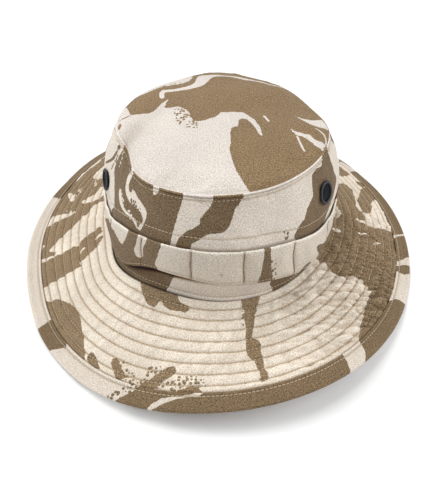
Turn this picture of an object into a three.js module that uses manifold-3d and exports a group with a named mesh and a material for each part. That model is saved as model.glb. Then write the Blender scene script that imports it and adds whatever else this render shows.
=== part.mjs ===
// Soft cloth bush hat with a quilted brim, resting on its brim on a flat surface.
// Millimetres, +Z up. The wearer's front faces -Y, and +X is the wearer's left.
// The hat is described by sections taken every 22.5 degrees round the Z axis: 0 is +X and 270 is the front.
import * as THREE from "three";
import { mergeVertices } from "three/addons/utils/BufferGeometryUtils.js";
import Module from "manifold-3d";

const wasm = await Module();
wasm.setup();

// ---------------------------------------------------------------- driving dimensions
const AROUND = 60; // facets round the hat
const PLY_GAP = 0.35; // clearance between sewn pieces
const WALL_T = 1.8; // crown side, two plies
const TOP_T = 1.7; // crown top, two plies
const BAND_T = 1.3; // loop band, folded strip
const BAND_STAND = 0.45; // loop band's distance from the crown side
const BRIM_HALF = 0.95; // half the quilted brim's thickness
const BRIM_EDGE_HALF = 0.6; // half the brim's thickness inside the binding
const BIND_PLY = 1.0; // binding strip
const BIND_HALF = BRIM_EDGE_HALF + 0.3 + BIND_PLY; // half the bound edge's thickness
const BRIM_WIDTH = 75; // along the cloth, crown seam to rim
const BIND_WIDTH = 12.7;
const WALL_LENGTH = 76; // along the cloth, brim seam to top seam
const TOP_DOME = 8.8; // rise of the top panel's middle above its seam
const VENT_R = 8.25; // outer radius of the vent's rim
const VENT_BORE_R = 6.0;
const VENT_BARREL_R = 6.6;
const VENT_HOLE_R = 7.1; // hole in the crown side
const SCREEN_R = 5.65;
const SCREEN_T = 0.5;
// The outline's middle lies here before the hat is centred on the origin.
const CENTRE = { x: 0.95, y: -3.2 };

// A row for each section: radius and height of the brim seam, of the top seam and of the rim,
// the brim's sag between them, the crown side's outward bulge, and how far up the crown side
// the loop band starts and ends.
const SECTIONS = [
  { deg: 0.0, baseR: 90.7, baseZ: 32.6, seamR: 80.4, seamZ: 104.3, rimR: 157.9, rimZ: -1.6, sag: 1.2, bulge: 6.5, bandLow: 1.4, bandHigh: 27.5 },
  { deg: 22.5, baseR: 93.4, baseZ: 32.6, seamR: 78.6, seamZ: 103.0, rimR: 161.5, rimZ: -0.4, sag: -0.4, bulge: 6.2, bandLow: 2.2, bandHigh: 29.0 },
  { deg: 45.0, baseR: 96.7, baseZ: 33.7, seamR: 81.4, seamZ: 104.8, rimR: 165.6, rimZ: 3.6, sag: -1.3, bulge: 6.0, bandLow: 5.0, bandHigh: 32.0 },
  { deg: 67.5, baseR: 99.1, baseZ: 35.0, seamR: 83.4, seamZ: 105.8, rimR: 168.5, rimZ: 6.6, sag: -1.0, bulge: 5.9, bandLow: 7.0, bandHigh: 34.0 },
  { deg: 90.0, baseR: 100.0, baseZ: 35.4, seamR: 85.0, seamZ: 107.4, rimR: 169.7, rimZ: 7.8, sag: -0.7, bulge: 5.9, bandLow: 8.0, bandHigh: 35.0 },
  { deg: 112.5, baseR: 99.3, baseZ: 34.9, seamR: 83.2, seamZ: 104.8, rimR: 169.1, rimZ: 7.4, sag: -0.4, bulge: 6.0, bandLow: 7.0, bandHigh: 34.0 },
  { deg: 135.0, baseR: 96.6, baseZ: 33.6, seamR: 81.2, seamZ: 103.4, rimR: 166.1, rimZ: 4.6, sag: -0.3, bulge: 6.2, bandLow: 5.0, bandHigh: 32.0 },
  { deg: 157.5, baseR: 91.8, baseZ: 31.6, seamR: 77.4, seamZ: 102.6, rimR: 160.0, rimZ: -0.4, sag: -0.1, bulge: 6.5, bandLow: 2.5, bandHigh: 29.0 },
  { deg: 180.0, baseR: 86.2, baseZ: 28.9, seamR: 72.6, seamZ: 103.4, rimR: 156.0, rimZ: -1.5, sag: 0.1, bulge: 6.7, bandLow: 1.4, bandHigh: 25.5 },
  { deg: 202.5, baseR: 86.9, baseZ: 28.6, seamR: 67.0, seamZ: 101.7, rimR: 156.7, rimZ: -0.9, sag: 0.1, bulge: 6.4, bandLow: 2.2, bandHigh: 27.5 },
  { deg: 225.0, baseR: 98.3, baseZ: 32.5, seamR: 75.7, seamZ: 101.2, rimR: 165.9, rimZ: -0.4, sag: -0.6, bulge: 6.2, bandLow: 8.5, bandHigh: 41.5 },
  { deg: 247.5, baseR: 103.5, baseZ: 37.0, seamR: 83.4, seamZ: 105.3, rimR: 174.5, rimZ: 5.4, sag: -2.3, bulge: 6.3, bandLow: 20.0, bandHigh: 43.7 },
  { deg: 270.0, baseR: 104.0, baseZ: 33.1, seamR: 86.1, seamZ: 106.9, rimR: 176.1, rimZ: 14.3, sag: -2.0, bulge: 6.1, bandLow: 16.7, bandHigh: 43.4 },
  { deg: 292.5, baseR: 99.3, baseZ: 30.1, seamR: 84.3, seamZ: 106.5, rimR: 171.9, rimZ: 15.0, sag: -2.4, bulge: 5.8, bandLow: 11.9, bandHigh: 41.2 },
  { deg: 315.0, baseR: 93.3, baseZ: 30.9, seamR: 81.8, seamZ: 106.2, rimR: 163.8, rimZ: 6.8, sag: -0.3, bulge: 5.9, bandLow: 1.4, bandHigh: 32.2 },
  { deg: 337.5, baseR: 89.9, baseZ: 32.2, seamR: 80.9, seamZ: 106.0, rimR: 158.2, rimZ: -0.4, sag: 1.5, bulge: 6.2, bandLow: 1.4, bandHigh: 27.0 },
];

// Folds of the crown side: where each lies, how far it reaches and how far it stands out (or in, below zero).
const SIDE_FOLDS = [
  { name: "tuck_front_left", deg: 240, spanDeg: 62, along: 6, spanAlong: 11, out: -2.4 },
  { name: "tuck_front", deg: 276, spanDeg: 42, along: 5, spanAlong: 9, out: -1.2 },
  { name: "roll_front_right", deg: 312, spanDeg: 40, along: 13, spanAlong: 15, out: 2.2 },
  { name: "roll_left", deg: 192, spanDeg: 34, along: 12, spanAlong: 14, out: 1.6 },
  { name: "hollow_front_right", deg: 300, spanDeg: 46, along: 60, spanAlong: 22, out: -1.0 },
  { name: "hollow_rear", deg: 96, spanDeg: 60, along: 52, spanAlong: 24, out: -1.2 },
];

// Dents of the top panel: centre, half lengths along and across, heading, and depth (below zero is a dent).
const TOP_DENTS = [
  { name: "valley_left", x: -52, y: -12, along: 38, across: 17, heading: 70, rise: -3.2 },
  { name: "crest_left", x: -66, y: 16, along: 22, across: 12, heading: 75, rise: 1.6 },
  { name: "slack_front", x: -6, y: -62, along: 40, across: 16, heading: 8, rise: -1.6 },
  { name: "crest_rear", x: 6, y: 44, along: 46, across: 22, heading: -6, rise: 1.8 },
  { name: "slack_right", x: 52, y: -6, along: 28, across: 16, heading: 80, rise: -1.0 },
];

// Each vent: where it sits round the crown side and how far up it, in degrees and millimetres.
const VENTS = [
  { side: "right", deg: 324.5, along: 54.5 },
  { side: "left", deg: 190, along: 43.4 },
];

// ---------------------------------------------------------------- shape functions
const STEP = 360 / SECTIONS.length;

// A column of the section table at any angle, along a smooth closed curve.
function at(column, deg) {
  const t = (((deg % 360) + 360) % 360) / STEP;
  const i = Math.floor(t), f = t - i, n = SECTIONS.length;
  const [a, b, c, d] = [-1, 0, 1, 2].map((k) => SECTIONS[(i + k + n) % n][column]);
  return 0.5 * (2 * b + (c - a) * f + (2 * a - 5 * b + 4 * c - d) * f * f + (3 * b - a - 3 * c + d) * f * f * f);
}

// 1 at the middle of a fold, falling smoothly to 0 at its ends.
const hill = (x) => (Math.abs(x) < 1 ? (0.5 + 0.5 * Math.cos(Math.PI * x)) : 0);
const turn = (a, b) => ((a - b + 540) % 360) - 180;

// The crown side's outer face: t is 0 at the brim seam and 1 at the top seam.
function side(deg, t) {
  let r = at("baseR", deg) * (1 - t) + at("seamR", deg) * t + at("bulge", deg) * Math.sin(Math.PI * t ** 1.3);
  const z = at("baseZ", deg) * (1 - t) + (at("seamZ", deg) - TOP_T - PLY_GAP) * t;
  for (const f of SIDE_FOLDS)
    r += f.out * hill(turn(deg, f.deg) / f.spanDeg) * hill((t * WALL_LENGTH - f.along) / f.spanAlong);
  return { r, z };
}

// The brim's middle surface: s is 0 at the crown seam and 1 at the rim. It lies flat where it would sink into the table.
function brim(deg, s) {
  const r = (at("baseR", deg) + PLY_GAP) * (1 - s) + at("rimR", deg) * s;
  const z = (at("baseZ", deg) - BRIM_HALF) * (1 - s) + (at("rimZ", deg) + 0.6) * s + at("sag", deg) * 4 * s * (1 - s);
  return { r, z: Math.max(z, BIND_HALF) };
}

// The top panel's outer face: q is 0 in the middle and 1 at the seam.
const SEAM_MEAN = SECTIONS.reduce((sum, row) => sum + row.seamZ, 0) / SECTIONS.length;
function top(deg, q) {
  const r = at("seamR", deg) * q, a = THREE.MathUtils.degToRad(deg);
  let z = SEAM_MEAN + (at("seamZ", deg) - SEAM_MEAN) * q * q + TOP_DOME * (1 - q ** 4);
  const edge = 1 - q ** 6;
  for (const d of TOP_DENTS) {
    const h = THREE.MathUtils.degToRad(d.heading);
    const dx = r * Math.cos(a) - d.x, dy = r * Math.sin(a) - d.y;
    const u = (dx * Math.cos(h) + dy * Math.sin(h)) / d.along, v = (-dx * Math.sin(h) + dy * Math.cos(h)) / d.across;
    z += d.rise * edge * Math.exp(-u * u - v * v);
  }
  return { r, z };
}

// ---------------------------------------------------------------- solids
const angles = Array.from({ length: AROUND }, (_, i) => (i * 360) / AROUND);
const place = (deg, { r, z }) => {
  const a = THREE.MathUtils.degToRad(deg);
  return [r * Math.cos(a) - CENTRE.x, r * Math.sin(a) - CENTRE.y, z];
};

function geometryOf(points, faces) {
  return new THREE.BufferGeometry()
    .setAttribute("position", new THREE.Float32BufferAttribute(points.flat(), 3))
    .setIndex(faces.flat());
}

// A closed ring whose cross-section at each angle is the outline that section(deg) gives,
// as points {r, z} going anticlockwise when +r is to the right and +z is up.
// Facets that face each other across a gap are divided along the same diagonal.
function ringSolid(section) {
  const outlines = angles.map(section), m = outlines[0].length, faces = [];
  const points = outlines.map((outline, i) => outline.map((p) => place(angles[i], p))).flat();
  for (let i = 0; i < AROUND; i++)
    for (let j = 0; j < m; j++) {
      const k = (j + 1) % m, here = outlines[i][j], next = outlines[i][k];
      const a = i * m + j, b = i * m + k, c = ((i + 1) % AROUND) * m + k, d = ((i + 1) % AROUND) * m + j;
      if (next.r - next.z > here.r - here.z) faces.push([a, d, c], [a, c, b]);
      else faces.push([a, d, b], [d, c, b]);
    }
  return geometryOf(points, faces);
}

// A closed panel between two faces, each given by shape(deg, q) with q from 0 in the middle to 1 at its edge.
function panelSolid(levels, upper, lower) {
  const points = [place(0, upper(0, 0)), place(0, lower(0, 0))], faces = [];
  const index = (face, level, i) => 2 + (face * levels.length + level) * AROUND + (i % AROUND);
  for (const face of [upper, lower]) for (const q of levels) for (const deg of angles) points.push(place(deg, face(deg, q)));
  for (let i = 0; i < AROUND; i++) {
    faces.push([0, index(0, 0, i), index(0, 0, i + 1)], [1, index(1, 0, i + 1), index(1, 0, i)]);
    for (let k = 0; k + 1 < levels.length; k++) {
      const [a, b, c, d] = [index(0, k, i), index(0, k + 1, i), index(0, k + 1, i + 1), index(0, k, i + 1)];
      faces.push([a, b, c], [a, c, d]);
      const [e, f, g, h] = [index(1, k, i), index(1, k + 1, i), index(1, k + 1, i + 1), index(1, k, i + 1)];
      faces.push([e, g, f], [e, h, g]);
    }
    const last = levels.length - 1;
    const [p, q, r, s] = [index(0, last, i), index(1, last, i), index(1, last, i + 1), index(0, last, i + 1)];
    faces.push([p, q, r], [p, r, s]);
  }
  return geometryOf(points, faces);
}

function toManifold(geometry, matrix) {
  const bare = new THREE.BufferGeometry().setAttribute("position", geometry.getAttribute("position").clone());
  if (geometry.index) bare.setIndex(geometry.index.clone());
  if (matrix) bare.applyMatrix4(matrix);
  const g = mergeVertices(bare, 1e-4);
  return new wasm.Manifold(
    new wasm.Mesh({ numProp: 3, vertProperties: new Float32Array(g.attributes.position.array), triVerts: new Uint32Array(g.index.array) }),
  );
}

function fromManifold(solid) {
  const m = solid.getMesh(), xyz = [];
  for (let i = 0; i < m.numVert; i++) xyz.push(m.vertProperties[i * m.numProp], m.vertProperties[i * m.numProp + 1], m.vertProperties[i * m.numProp + 2]);
  return new THREE.BufferGeometry().setAttribute("position", new THREE.Float32BufferAttribute(xyz, 3)).setIndex(Array.from(m.triVerts));
}

// Where the crown side is divided: through the loop band's own lines, then evenly up to the top seam.
const bandT = (deg) => [at("bandLow", deg) / WALL_LENGTH, at("bandHigh", deg) / WALL_LENGTH];
function sideLevels(deg) {
  const [low, high] = bandT(deg), mix = (k) => low + (high - low) * k;
  const above = [0.2, 0.4, 0.6, 0.8, 1].map((k) => high + (1 - high) * k);
  return [0, low * 0.5, mix(0), mix(1 / 3), mix(2 / 3), mix(1), ...above];
}

// Crown side: its foot ends level with the brim's underside.
function sideSection(deg) {
  const outer = sideLevels(deg).map((t) => side(deg, t));
  outer.unshift({ r: outer[0].r, z: outer[0].z - 2 * BRIM_HALF });
  const inner = outer.map((p) => ({ r: p.r - WALL_T, z: p.z })).reverse();
  return [...outer, ...inner];
}

function bandSection(deg) {
  const [low, high] = bandT(deg);
  const line = [0, 1 / 3, 2 / 3, 1].map((k) => side(deg, low + (high - low) * k));
  const near = line.map((p) => ({ r: p.r + BAND_STAND, z: p.z })).reverse();
  const far = line.map((p) => ({ r: p.r + BAND_STAND + BAND_T, z: p.z }));
  return [...far, ...near];
}

const BIND_S = 1 - BIND_WIDTH / BRIM_WIDTH;
const LAY = 5; // width of the rim that lies flat where the hat rests
const along = (mm) => 1 - mm / BRIM_WIDTH; // measured back from the rim
const offset = (deg, s, dz) => { const p = brim(deg, s); return { r: p.r, z: p.z + dz }; };

function brimSection(deg) {
  const stops = [
    [0, BRIM_HALF], [0.2, BRIM_HALF], [0.4, BRIM_HALF], [0.6, BRIM_HALF], [BIND_S - 0.035, BRIM_HALF],
    [BIND_S, BRIM_EDGE_HALF], [along(LAY), BRIM_EDGE_HALF], [along(1.65), BRIM_EDGE_HALF],
  ];
  const under = stops.map(([s, h]) => offset(deg, s, -h));
  const over = stops.map(([s, h]) => offset(deg, s, h)).reverse();
  return [...under, ...over];
}

function bindingSection(deg) {
  const bay = BRIM_EDGE_HALF + 0.3;
  return [
    offset(deg, BIND_S, -BIND_HALF), offset(deg, along(LAY), -BIND_HALF), offset(deg, along(0.8), -BIND_HALF),
    offset(deg, 1, -BIND_HALF * 0.45), offset(deg, 1, BIND_HALF * 0.45),
    offset(deg, along(0.8), BIND_HALF), offset(deg, along(LAY), BIND_HALF), offset(deg, BIND_S, BIND_HALF),
    offset(deg, BIND_S, bay), offset(deg, along(LAY), bay), offset(deg, along(1.25), bay),
    offset(deg, along(1.25), -bay), offset(deg, along(LAY), -bay), offset(deg, BIND_S, -bay),
  ];
}

// The place of a vent: its +Z points out of the crown side, and its origin is on the outer face.
function ventPlace(vent) {
  const t = vent.along / WALL_LENGTH;
  const p = new THREE.Vector3(...place(vent.deg, side(vent.deg, t)));
  const up = new THREE.Vector3(...place(vent.deg, side(vent.deg, t + 0.07))).sub(new THREE.Vector3(...place(vent.deg, side(vent.deg, t - 0.07)))).normalize();
  const round = new THREE.Vector3(...place(vent.deg + 4, side(vent.deg + 4, t))).sub(new THREE.Vector3(...place(vent.deg - 4, side(vent.deg - 4, t)))).normalize();
  const out = new THREE.Vector3().crossVectors(round, up).normalize();
  const x = new THREE.Vector3().crossVectors(up, out).normalize();
  return new THREE.Matrix4().makeBasis(x, up, out).setPosition(p);
}

// Turned rim of a vent: outer flange, barrel through the cloth, and inner flange.
function ventRim() {
  const back = -(WALL_T + 2.1);
  const profile = [
    [VENT_BORE_R, 1.4], [VENT_BORE_R, back - 0.5], [VENT_R - 0.9, back - 0.5], [VENT_R - 0.9, back], [VENT_BARREL_R, back],
    [VENT_BARREL_R, 0.75], [VENT_R, 0.75], [VENT_R, 1.3], [(VENT_R + VENT_BORE_R) / 2, 1.9], [VENT_BORE_R, 1.4],
  ].map(([r, z]) => new THREE.Vector2(r, z));
  const g = new THREE.LatheGeometry(profile, 20);
  g.deleteAttribute("normal");
  g.deleteAttribute("uv");
  g.rotateX(Math.PI / 2);
  return g;
}

// ---------------------------------------------------------------- assembly
const sandCloth = new THREE.MeshStandardMaterial({ color: 0xdccfbd, roughness: 0.92, metalness: 0 });
const khakiCloth = new THREE.MeshStandardMaterial({ color: 0x8c7454, roughness: 0.92, metalness: 0 });
const ventPaint = new THREE.MeshStandardMaterial({ color: 0x20242c, roughness: 0.45, metalness: 0.3 });

const hat = new THREE.Group();
const add = (name, geometry, material) => {
  const mesh = new THREE.Mesh(geometry, material);
  mesh.name = name;
  hat.add(mesh);
};

let sideSolid = toManifold(ringSolid(sideSection));
for (const vent of VENTS) {
  const m = ventPlace(vent);
  const drill = new THREE.CylinderGeometry(VENT_HOLE_R, VENT_HOLE_R, 14, 20).rotateX(Math.PI / 2);
  drill.deleteAttribute("normal");
  drill.deleteAttribute("uv");
  sideSolid = sideSolid.subtract(toManifold(drill, m));
  add("vent_rim_" + vent.side, fromManifold(toManifold(ventRim(), m)), ventPaint);
  const screen = new THREE.CylinderGeometry(SCREEN_R, SCREEN_R, SCREEN_T, 20).rotateX(Math.PI / 2).translate(0, 0, 0.7);
  screen.deleteAttribute("normal");
  screen.deleteAttribute("uv");
  add("vent_screen_" + vent.side, fromManifold(toManifold(screen, m)), ventPaint);
}

add("crown_side", fromManifold(sideSolid), sandCloth);
add("crown_top", panelSolid([0.24, 0.46, 0.66, 0.82, 0.93, 1], top, (deg, q) => { const p = top(deg, q); return { r: p.r, z: p.z - TOP_T }; }), sandCloth);
add("loop_band", ringSolid(bandSection), sandCloth);
add("brim", ringSolid(brimSection), sandCloth);
add("brim_binding", ringSolid(bindingSection), khakiCloth);

export default hat;
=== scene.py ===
# Soft cloth bush hat with a quilted brim, lying on its brim on a plain pale floor.
# Metres, +Z up, in the row's frame. Shapes are worked out in millimetres and scaled on the way into a mesh.
import math

import bpy
import numpy as np
from mathutils import Matrix, Vector


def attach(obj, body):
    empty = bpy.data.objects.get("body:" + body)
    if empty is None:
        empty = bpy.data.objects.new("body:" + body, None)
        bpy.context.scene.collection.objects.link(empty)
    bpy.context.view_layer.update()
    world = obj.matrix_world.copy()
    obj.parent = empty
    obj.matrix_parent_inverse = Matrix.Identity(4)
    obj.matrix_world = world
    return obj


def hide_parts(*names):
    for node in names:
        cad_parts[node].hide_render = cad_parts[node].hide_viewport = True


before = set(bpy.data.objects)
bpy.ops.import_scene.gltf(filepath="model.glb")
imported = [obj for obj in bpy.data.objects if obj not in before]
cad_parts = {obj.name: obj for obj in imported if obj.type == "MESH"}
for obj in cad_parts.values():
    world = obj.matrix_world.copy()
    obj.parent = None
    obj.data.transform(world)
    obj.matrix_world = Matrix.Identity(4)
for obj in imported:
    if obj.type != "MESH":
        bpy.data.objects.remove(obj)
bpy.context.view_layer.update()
MM = 0.001

# ---------------------------------------------------------------- the camera, at the photo's angle
# Its place in millimetres, its right, up and back directions, and its focal length in pixels of a 427 x 500 picture.
CENTRE = (0.95, -3.2)
EYE = (-3.303 - CENTRE[0], -351.067 - CENTRE[1], 303.905)
RIGHT = (0.99997, -0.00647, -0.00529)
UP = (0.00827, 0.67259, 0.73997)
BACK = (-0.00123, -0.73999, 0.67262)
FOCAL_PX = 547.28

cam_data = bpy.data.cameras.new("photo_camera")
cam_data.sensor_fit = "AUTO"
cam_data.sensor_width = 36.0
cam_data.lens = 36.0 * FOCAL_PX / 500.0
cam_data.clip_start = 0.01
cam = bpy.data.objects.new("photo_camera", cam_data)
m = Matrix((RIGHT, UP, BACK)).transposed().to_4x4()
m.translation = Vector(EYE) * MM
cam.matrix_world = m
bpy.context.scene.collection.objects.link(cam)
bpy.context.scene.camera = cam

# ---------------------------------------------------------------- the hat's driving sizes, as in the solids
PLY_GAP = 0.35
WALL_T = 1.8
TOP_T = 1.7
BRIM_HALF = 0.95
BIND_PLY = 1.0
BIND_HALF = 1.9
BRIM_WIDTH = 75.0
BIND_WIDTH = 12.7
WALL_LENGTH = 76.0
TOP_DOME = 8.8
BAND_T = 1.3

SECTION_COLUMNS = "deg baseR baseZ seamR seamZ rimR rimZ sag bulge bandLow bandHigh".split()
SECTIONS = np.array([
    (0.0, 90.7, 32.6, 80.4, 104.3, 157.9, -1.6, 1.2, 6.5, 1.4, 27.5),
    (22.5, 93.4, 32.6, 78.6, 103.0, 161.5, -0.4, -0.4, 6.2, 2.2, 29.0),
    (45.0, 96.7, 33.7, 81.4, 104.8, 165.6, 3.6, -1.3, 6.0, 5.0, 32.0),
    (67.5, 99.1, 35.0, 83.4, 105.8, 168.5, 6.6, -1.0, 5.9, 7.0, 34.0),
    (90.0, 100.0, 35.4, 85.0, 107.4, 169.7, 7.8, -0.7, 5.9, 8.0, 35.0),
    (112.5, 99.3, 34.9, 83.2, 104.8, 169.1, 7.4, -0.4, 6.0, 7.0, 34.0),
    (135.0, 96.6, 33.6, 81.2, 103.4, 166.1, 4.6, -0.3, 6.2, 5.0, 32.0),
    (157.5, 91.8, 31.6, 77.4, 102.6, 160.0, -0.4, -0.1, 6.5, 2.5, 29.0),
    (180.0, 86.2, 28.9, 72.6, 103.4, 156.0, -1.5, 0.1, 6.7, 1.4, 25.5),
    (202.5, 86.9, 28.6, 67.0, 101.7, 156.7, -0.9, 0.1, 6.4, 2.2, 27.5),
    (225.0, 98.3, 32.5, 75.7, 101.2, 165.9, -0.4, -0.6, 6.2, 8.5, 41.5),
    (247.5, 103.5, 37.0, 83.4, 105.3, 174.5, 5.4, -2.3, 6.3, 20.0, 43.7),
    (270.0, 104.0, 33.1, 86.1, 106.9, 176.1, 14.3, -2.0, 6.1, 16.7, 43.4),
    (292.5, 99.3, 30.1, 84.3, 106.5, 171.9, 15.0, -2.4, 5.8, 11.9, 41.2),
    (315.0, 93.3, 30.9, 81.8, 106.2, 163.8, 6.8, -0.3, 5.9, 1.4, 32.2),
    (337.5, 89.9, 32.2, 80.9, 106.0, 158.2, -0.4, 1.5, 6.2, 1.4, 27.0),
])
# deg, reach in degrees, height up the side, reach in height, how far out
SIDE_FOLDS = [
    (240, 62, 6, 11, -2.4), (276, 42, 5, 9, -1.2), (312, 40, 13, 15, 2.2),
    (192, 34, 12, 14, 1.6), (300, 46, 60, 22, -1.0), (96, 60, 52, 24, -1.2),
]
# x, y, half length, half width, heading, rise
TOP_DENTS = [
    (-52, -12, 38, 17, 70, -3.2), (-66, 16, 22, 12, 75, 1.6), (-6, -62, 40, 16, 8, -1.6),
    (6, 44, 46, 22, -6, 1.8), (52, -6, 28, 16, 80, -1.0),
]
VENTS = [("right", 324.5, 54.5), ("left", 190.0, 43.4)]
# Where the loop band is sewn down to the crown side, in degrees.
TACKS = [12, 34, 57, 79, 101, 124, 146, 168, 190, 214, 240, 260.3, 279.3, 301.4, 327, 350]
# Rows of stitching on the brim, in millimetres out from the crown seam.
ROWS = [5.7 + 7.44 * k for k in range(8)]


def at(column, deg):
    v = SECTIONS[:, SECTION_COLUMNS.index(column)]
    t = (np.asarray(deg, float) % 360) / 22.5
    i = np.floor(t).astype(int)
    f = t - i
    a, b, c, d = (v[(i + k) % 16] for k in (-1, 0, 1, 2))
    return 0.5 * (2 * b + (c - a) * f + (2 * a - 5 * b + 4 * c - d) * f * f + (3 * b - a - 3 * c + d) * f**3)


def hill(x):
    return np.where(np.abs(x) < 1, 0.5 + 0.5 * np.cos(np.pi * np.clip(x, -1, 1)), 0.0)


def turn(a, b):
    return ((a - b + 540) % 360) - 180


def smooth(x, low, high):
    t = np.clip((x - low) / (high - low), 0, 1)
    return t * t * (3 - 2 * t)


def bell(x, middle, width):
    return np.exp(-(((x - middle) / width) ** 2))


# ---------------------------------------------------------------- smooth noise, the same on every run
def _lattice(seed):
    rng = np.random.RandomState(seed)
    a = rng.rand(256) * 2 * np.pi
    return rng.permutation(256), np.cos(a), np.sin(a)


_TABLES = {}


def noise(x, y, seed=1):
    """Smooth noise from about -1 to 1, with features about 1 unit across."""
    if seed not in _TABLES:
        _TABLES[seed] = _lattice(seed)
    perm, gx, gy = _TABLES[seed]
    x, y = np.broadcast_arrays(np.asarray(x, float), np.asarray(y, float))
    i, j = np.floor(x).astype(int), np.floor(y).astype(int)
    fx, fy = x - i, y - j
    u, v = fx**3 * (fx * (fx * 6 - 15) + 10), fy**3 * (fy * (fy * 6 - 15) + 10)

    def corner(di, dj):
        h = perm[(perm[(i + di) & 255] + j + dj) & 255]
        return gx[h] * (fx - di) + gy[h] * (fy - dj)

    low = corner(0, 0) * (1 - u) + corner(1, 0) * u
    high = corner(0, 1) * (1 - u) + corner(1, 1) * u
    return 1.5 * (low * (1 - v) + high * v)


def around(deg, scale, seed, second=0.0):
    """Noise that joins up round the hat: scale is the size of its features in degrees."""
    a = np.radians(deg)
    k = 57.3 / scale
    return noise(k * np.cos(a) + 17.3 + second, k * np.sin(a) + 5.1 - 0.7 * second, seed)


# ---------------------------------------------------------------- the hat's surfaces
def side(deg, al):
    """Crown side's outer face: al is the distance up from the brim seam."""
    t = al / WALL_LENGTH
    tc = np.clip(t, 0, 1)
    r = at("baseR", deg) * (1 - t) + at("seamR", deg) * t + at("bulge", deg) * np.sin(np.pi * tc**1.3)
    z = at("baseZ", deg) * (1 - t) + (at("seamZ", deg) - TOP_T - PLY_GAP) * t
    for d, reach, a0, reach_al, out in SIDE_FOLDS:
        r = r + out * hill(turn(deg, d) / reach) * hill((al - a0) / reach_al)
    return r, z


def brim(deg, al):
    """Brim's middle surface: al is the distance out from the crown seam."""
    s = al / BRIM_WIDTH
    r = (at("baseR", deg) + PLY_GAP) * (1 - s) + at("rimR", deg) * s
    z = (at("baseZ", deg) - BRIM_HALF) * (1 - s) + (at("rimZ", deg) + 0.6) * s + at("sag", deg) * 4 * s * (1 - s)
    # it lies flat where the hat rests
    return r, BIND_HALF + 0.2 * np.logaddexp(0, (z - BIND_HALF) / 0.2)


SEAM_MEAN = SECTIONS[:, 4].mean()


def top(deg, q):
    """Top panel's outer face: q is 0 in the middle and 1 at its seam."""
    a = np.radians(deg)
    r = at("seamR", deg) * q
    z = SEAM_MEAN + (at("seamZ", deg) - SEAM_MEAN) * q * q + TOP_DOME * (1 - q**4)
    for x, y, long, wide, heading, rise in TOP_DENTS:
        h = math.radians(heading)
        dx, dy = r * np.cos(a) - x, r * np.sin(a) - y
        u, v = (dx * math.cos(h) + dy * math.sin(h)) / long, (-dx * math.sin(h) + dy * math.cos(h)) / wide
        z = z + rise * (1 - q**6) * np.exp(-u * u - v * v)
    return r, z


def place(deg, r, z):
    """Polar to the row's frame, still in millimetres."""
    a = np.radians(deg)
    return np.stack([r * np.cos(a) - CENTRE[0], r * np.sin(a) - CENTRE[1], z + 0 * r], -1)


# ---------------------------------------------------------------- the printed pattern, charted
# Each patch is an outline. On the top panel, brim and binding it is x, y in the plan of the panel laid flat; on the
# crown side and loop band it is degrees round and millimetres up. "rag" is how ragged its edge is, in millimetres.
# brown patches print on the pale ground, and pale ones show the ground through the brown.
def patch(tone, rag, *points):
    return tone, rag, np.array(points, float).reshape(-1, 2)


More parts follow.
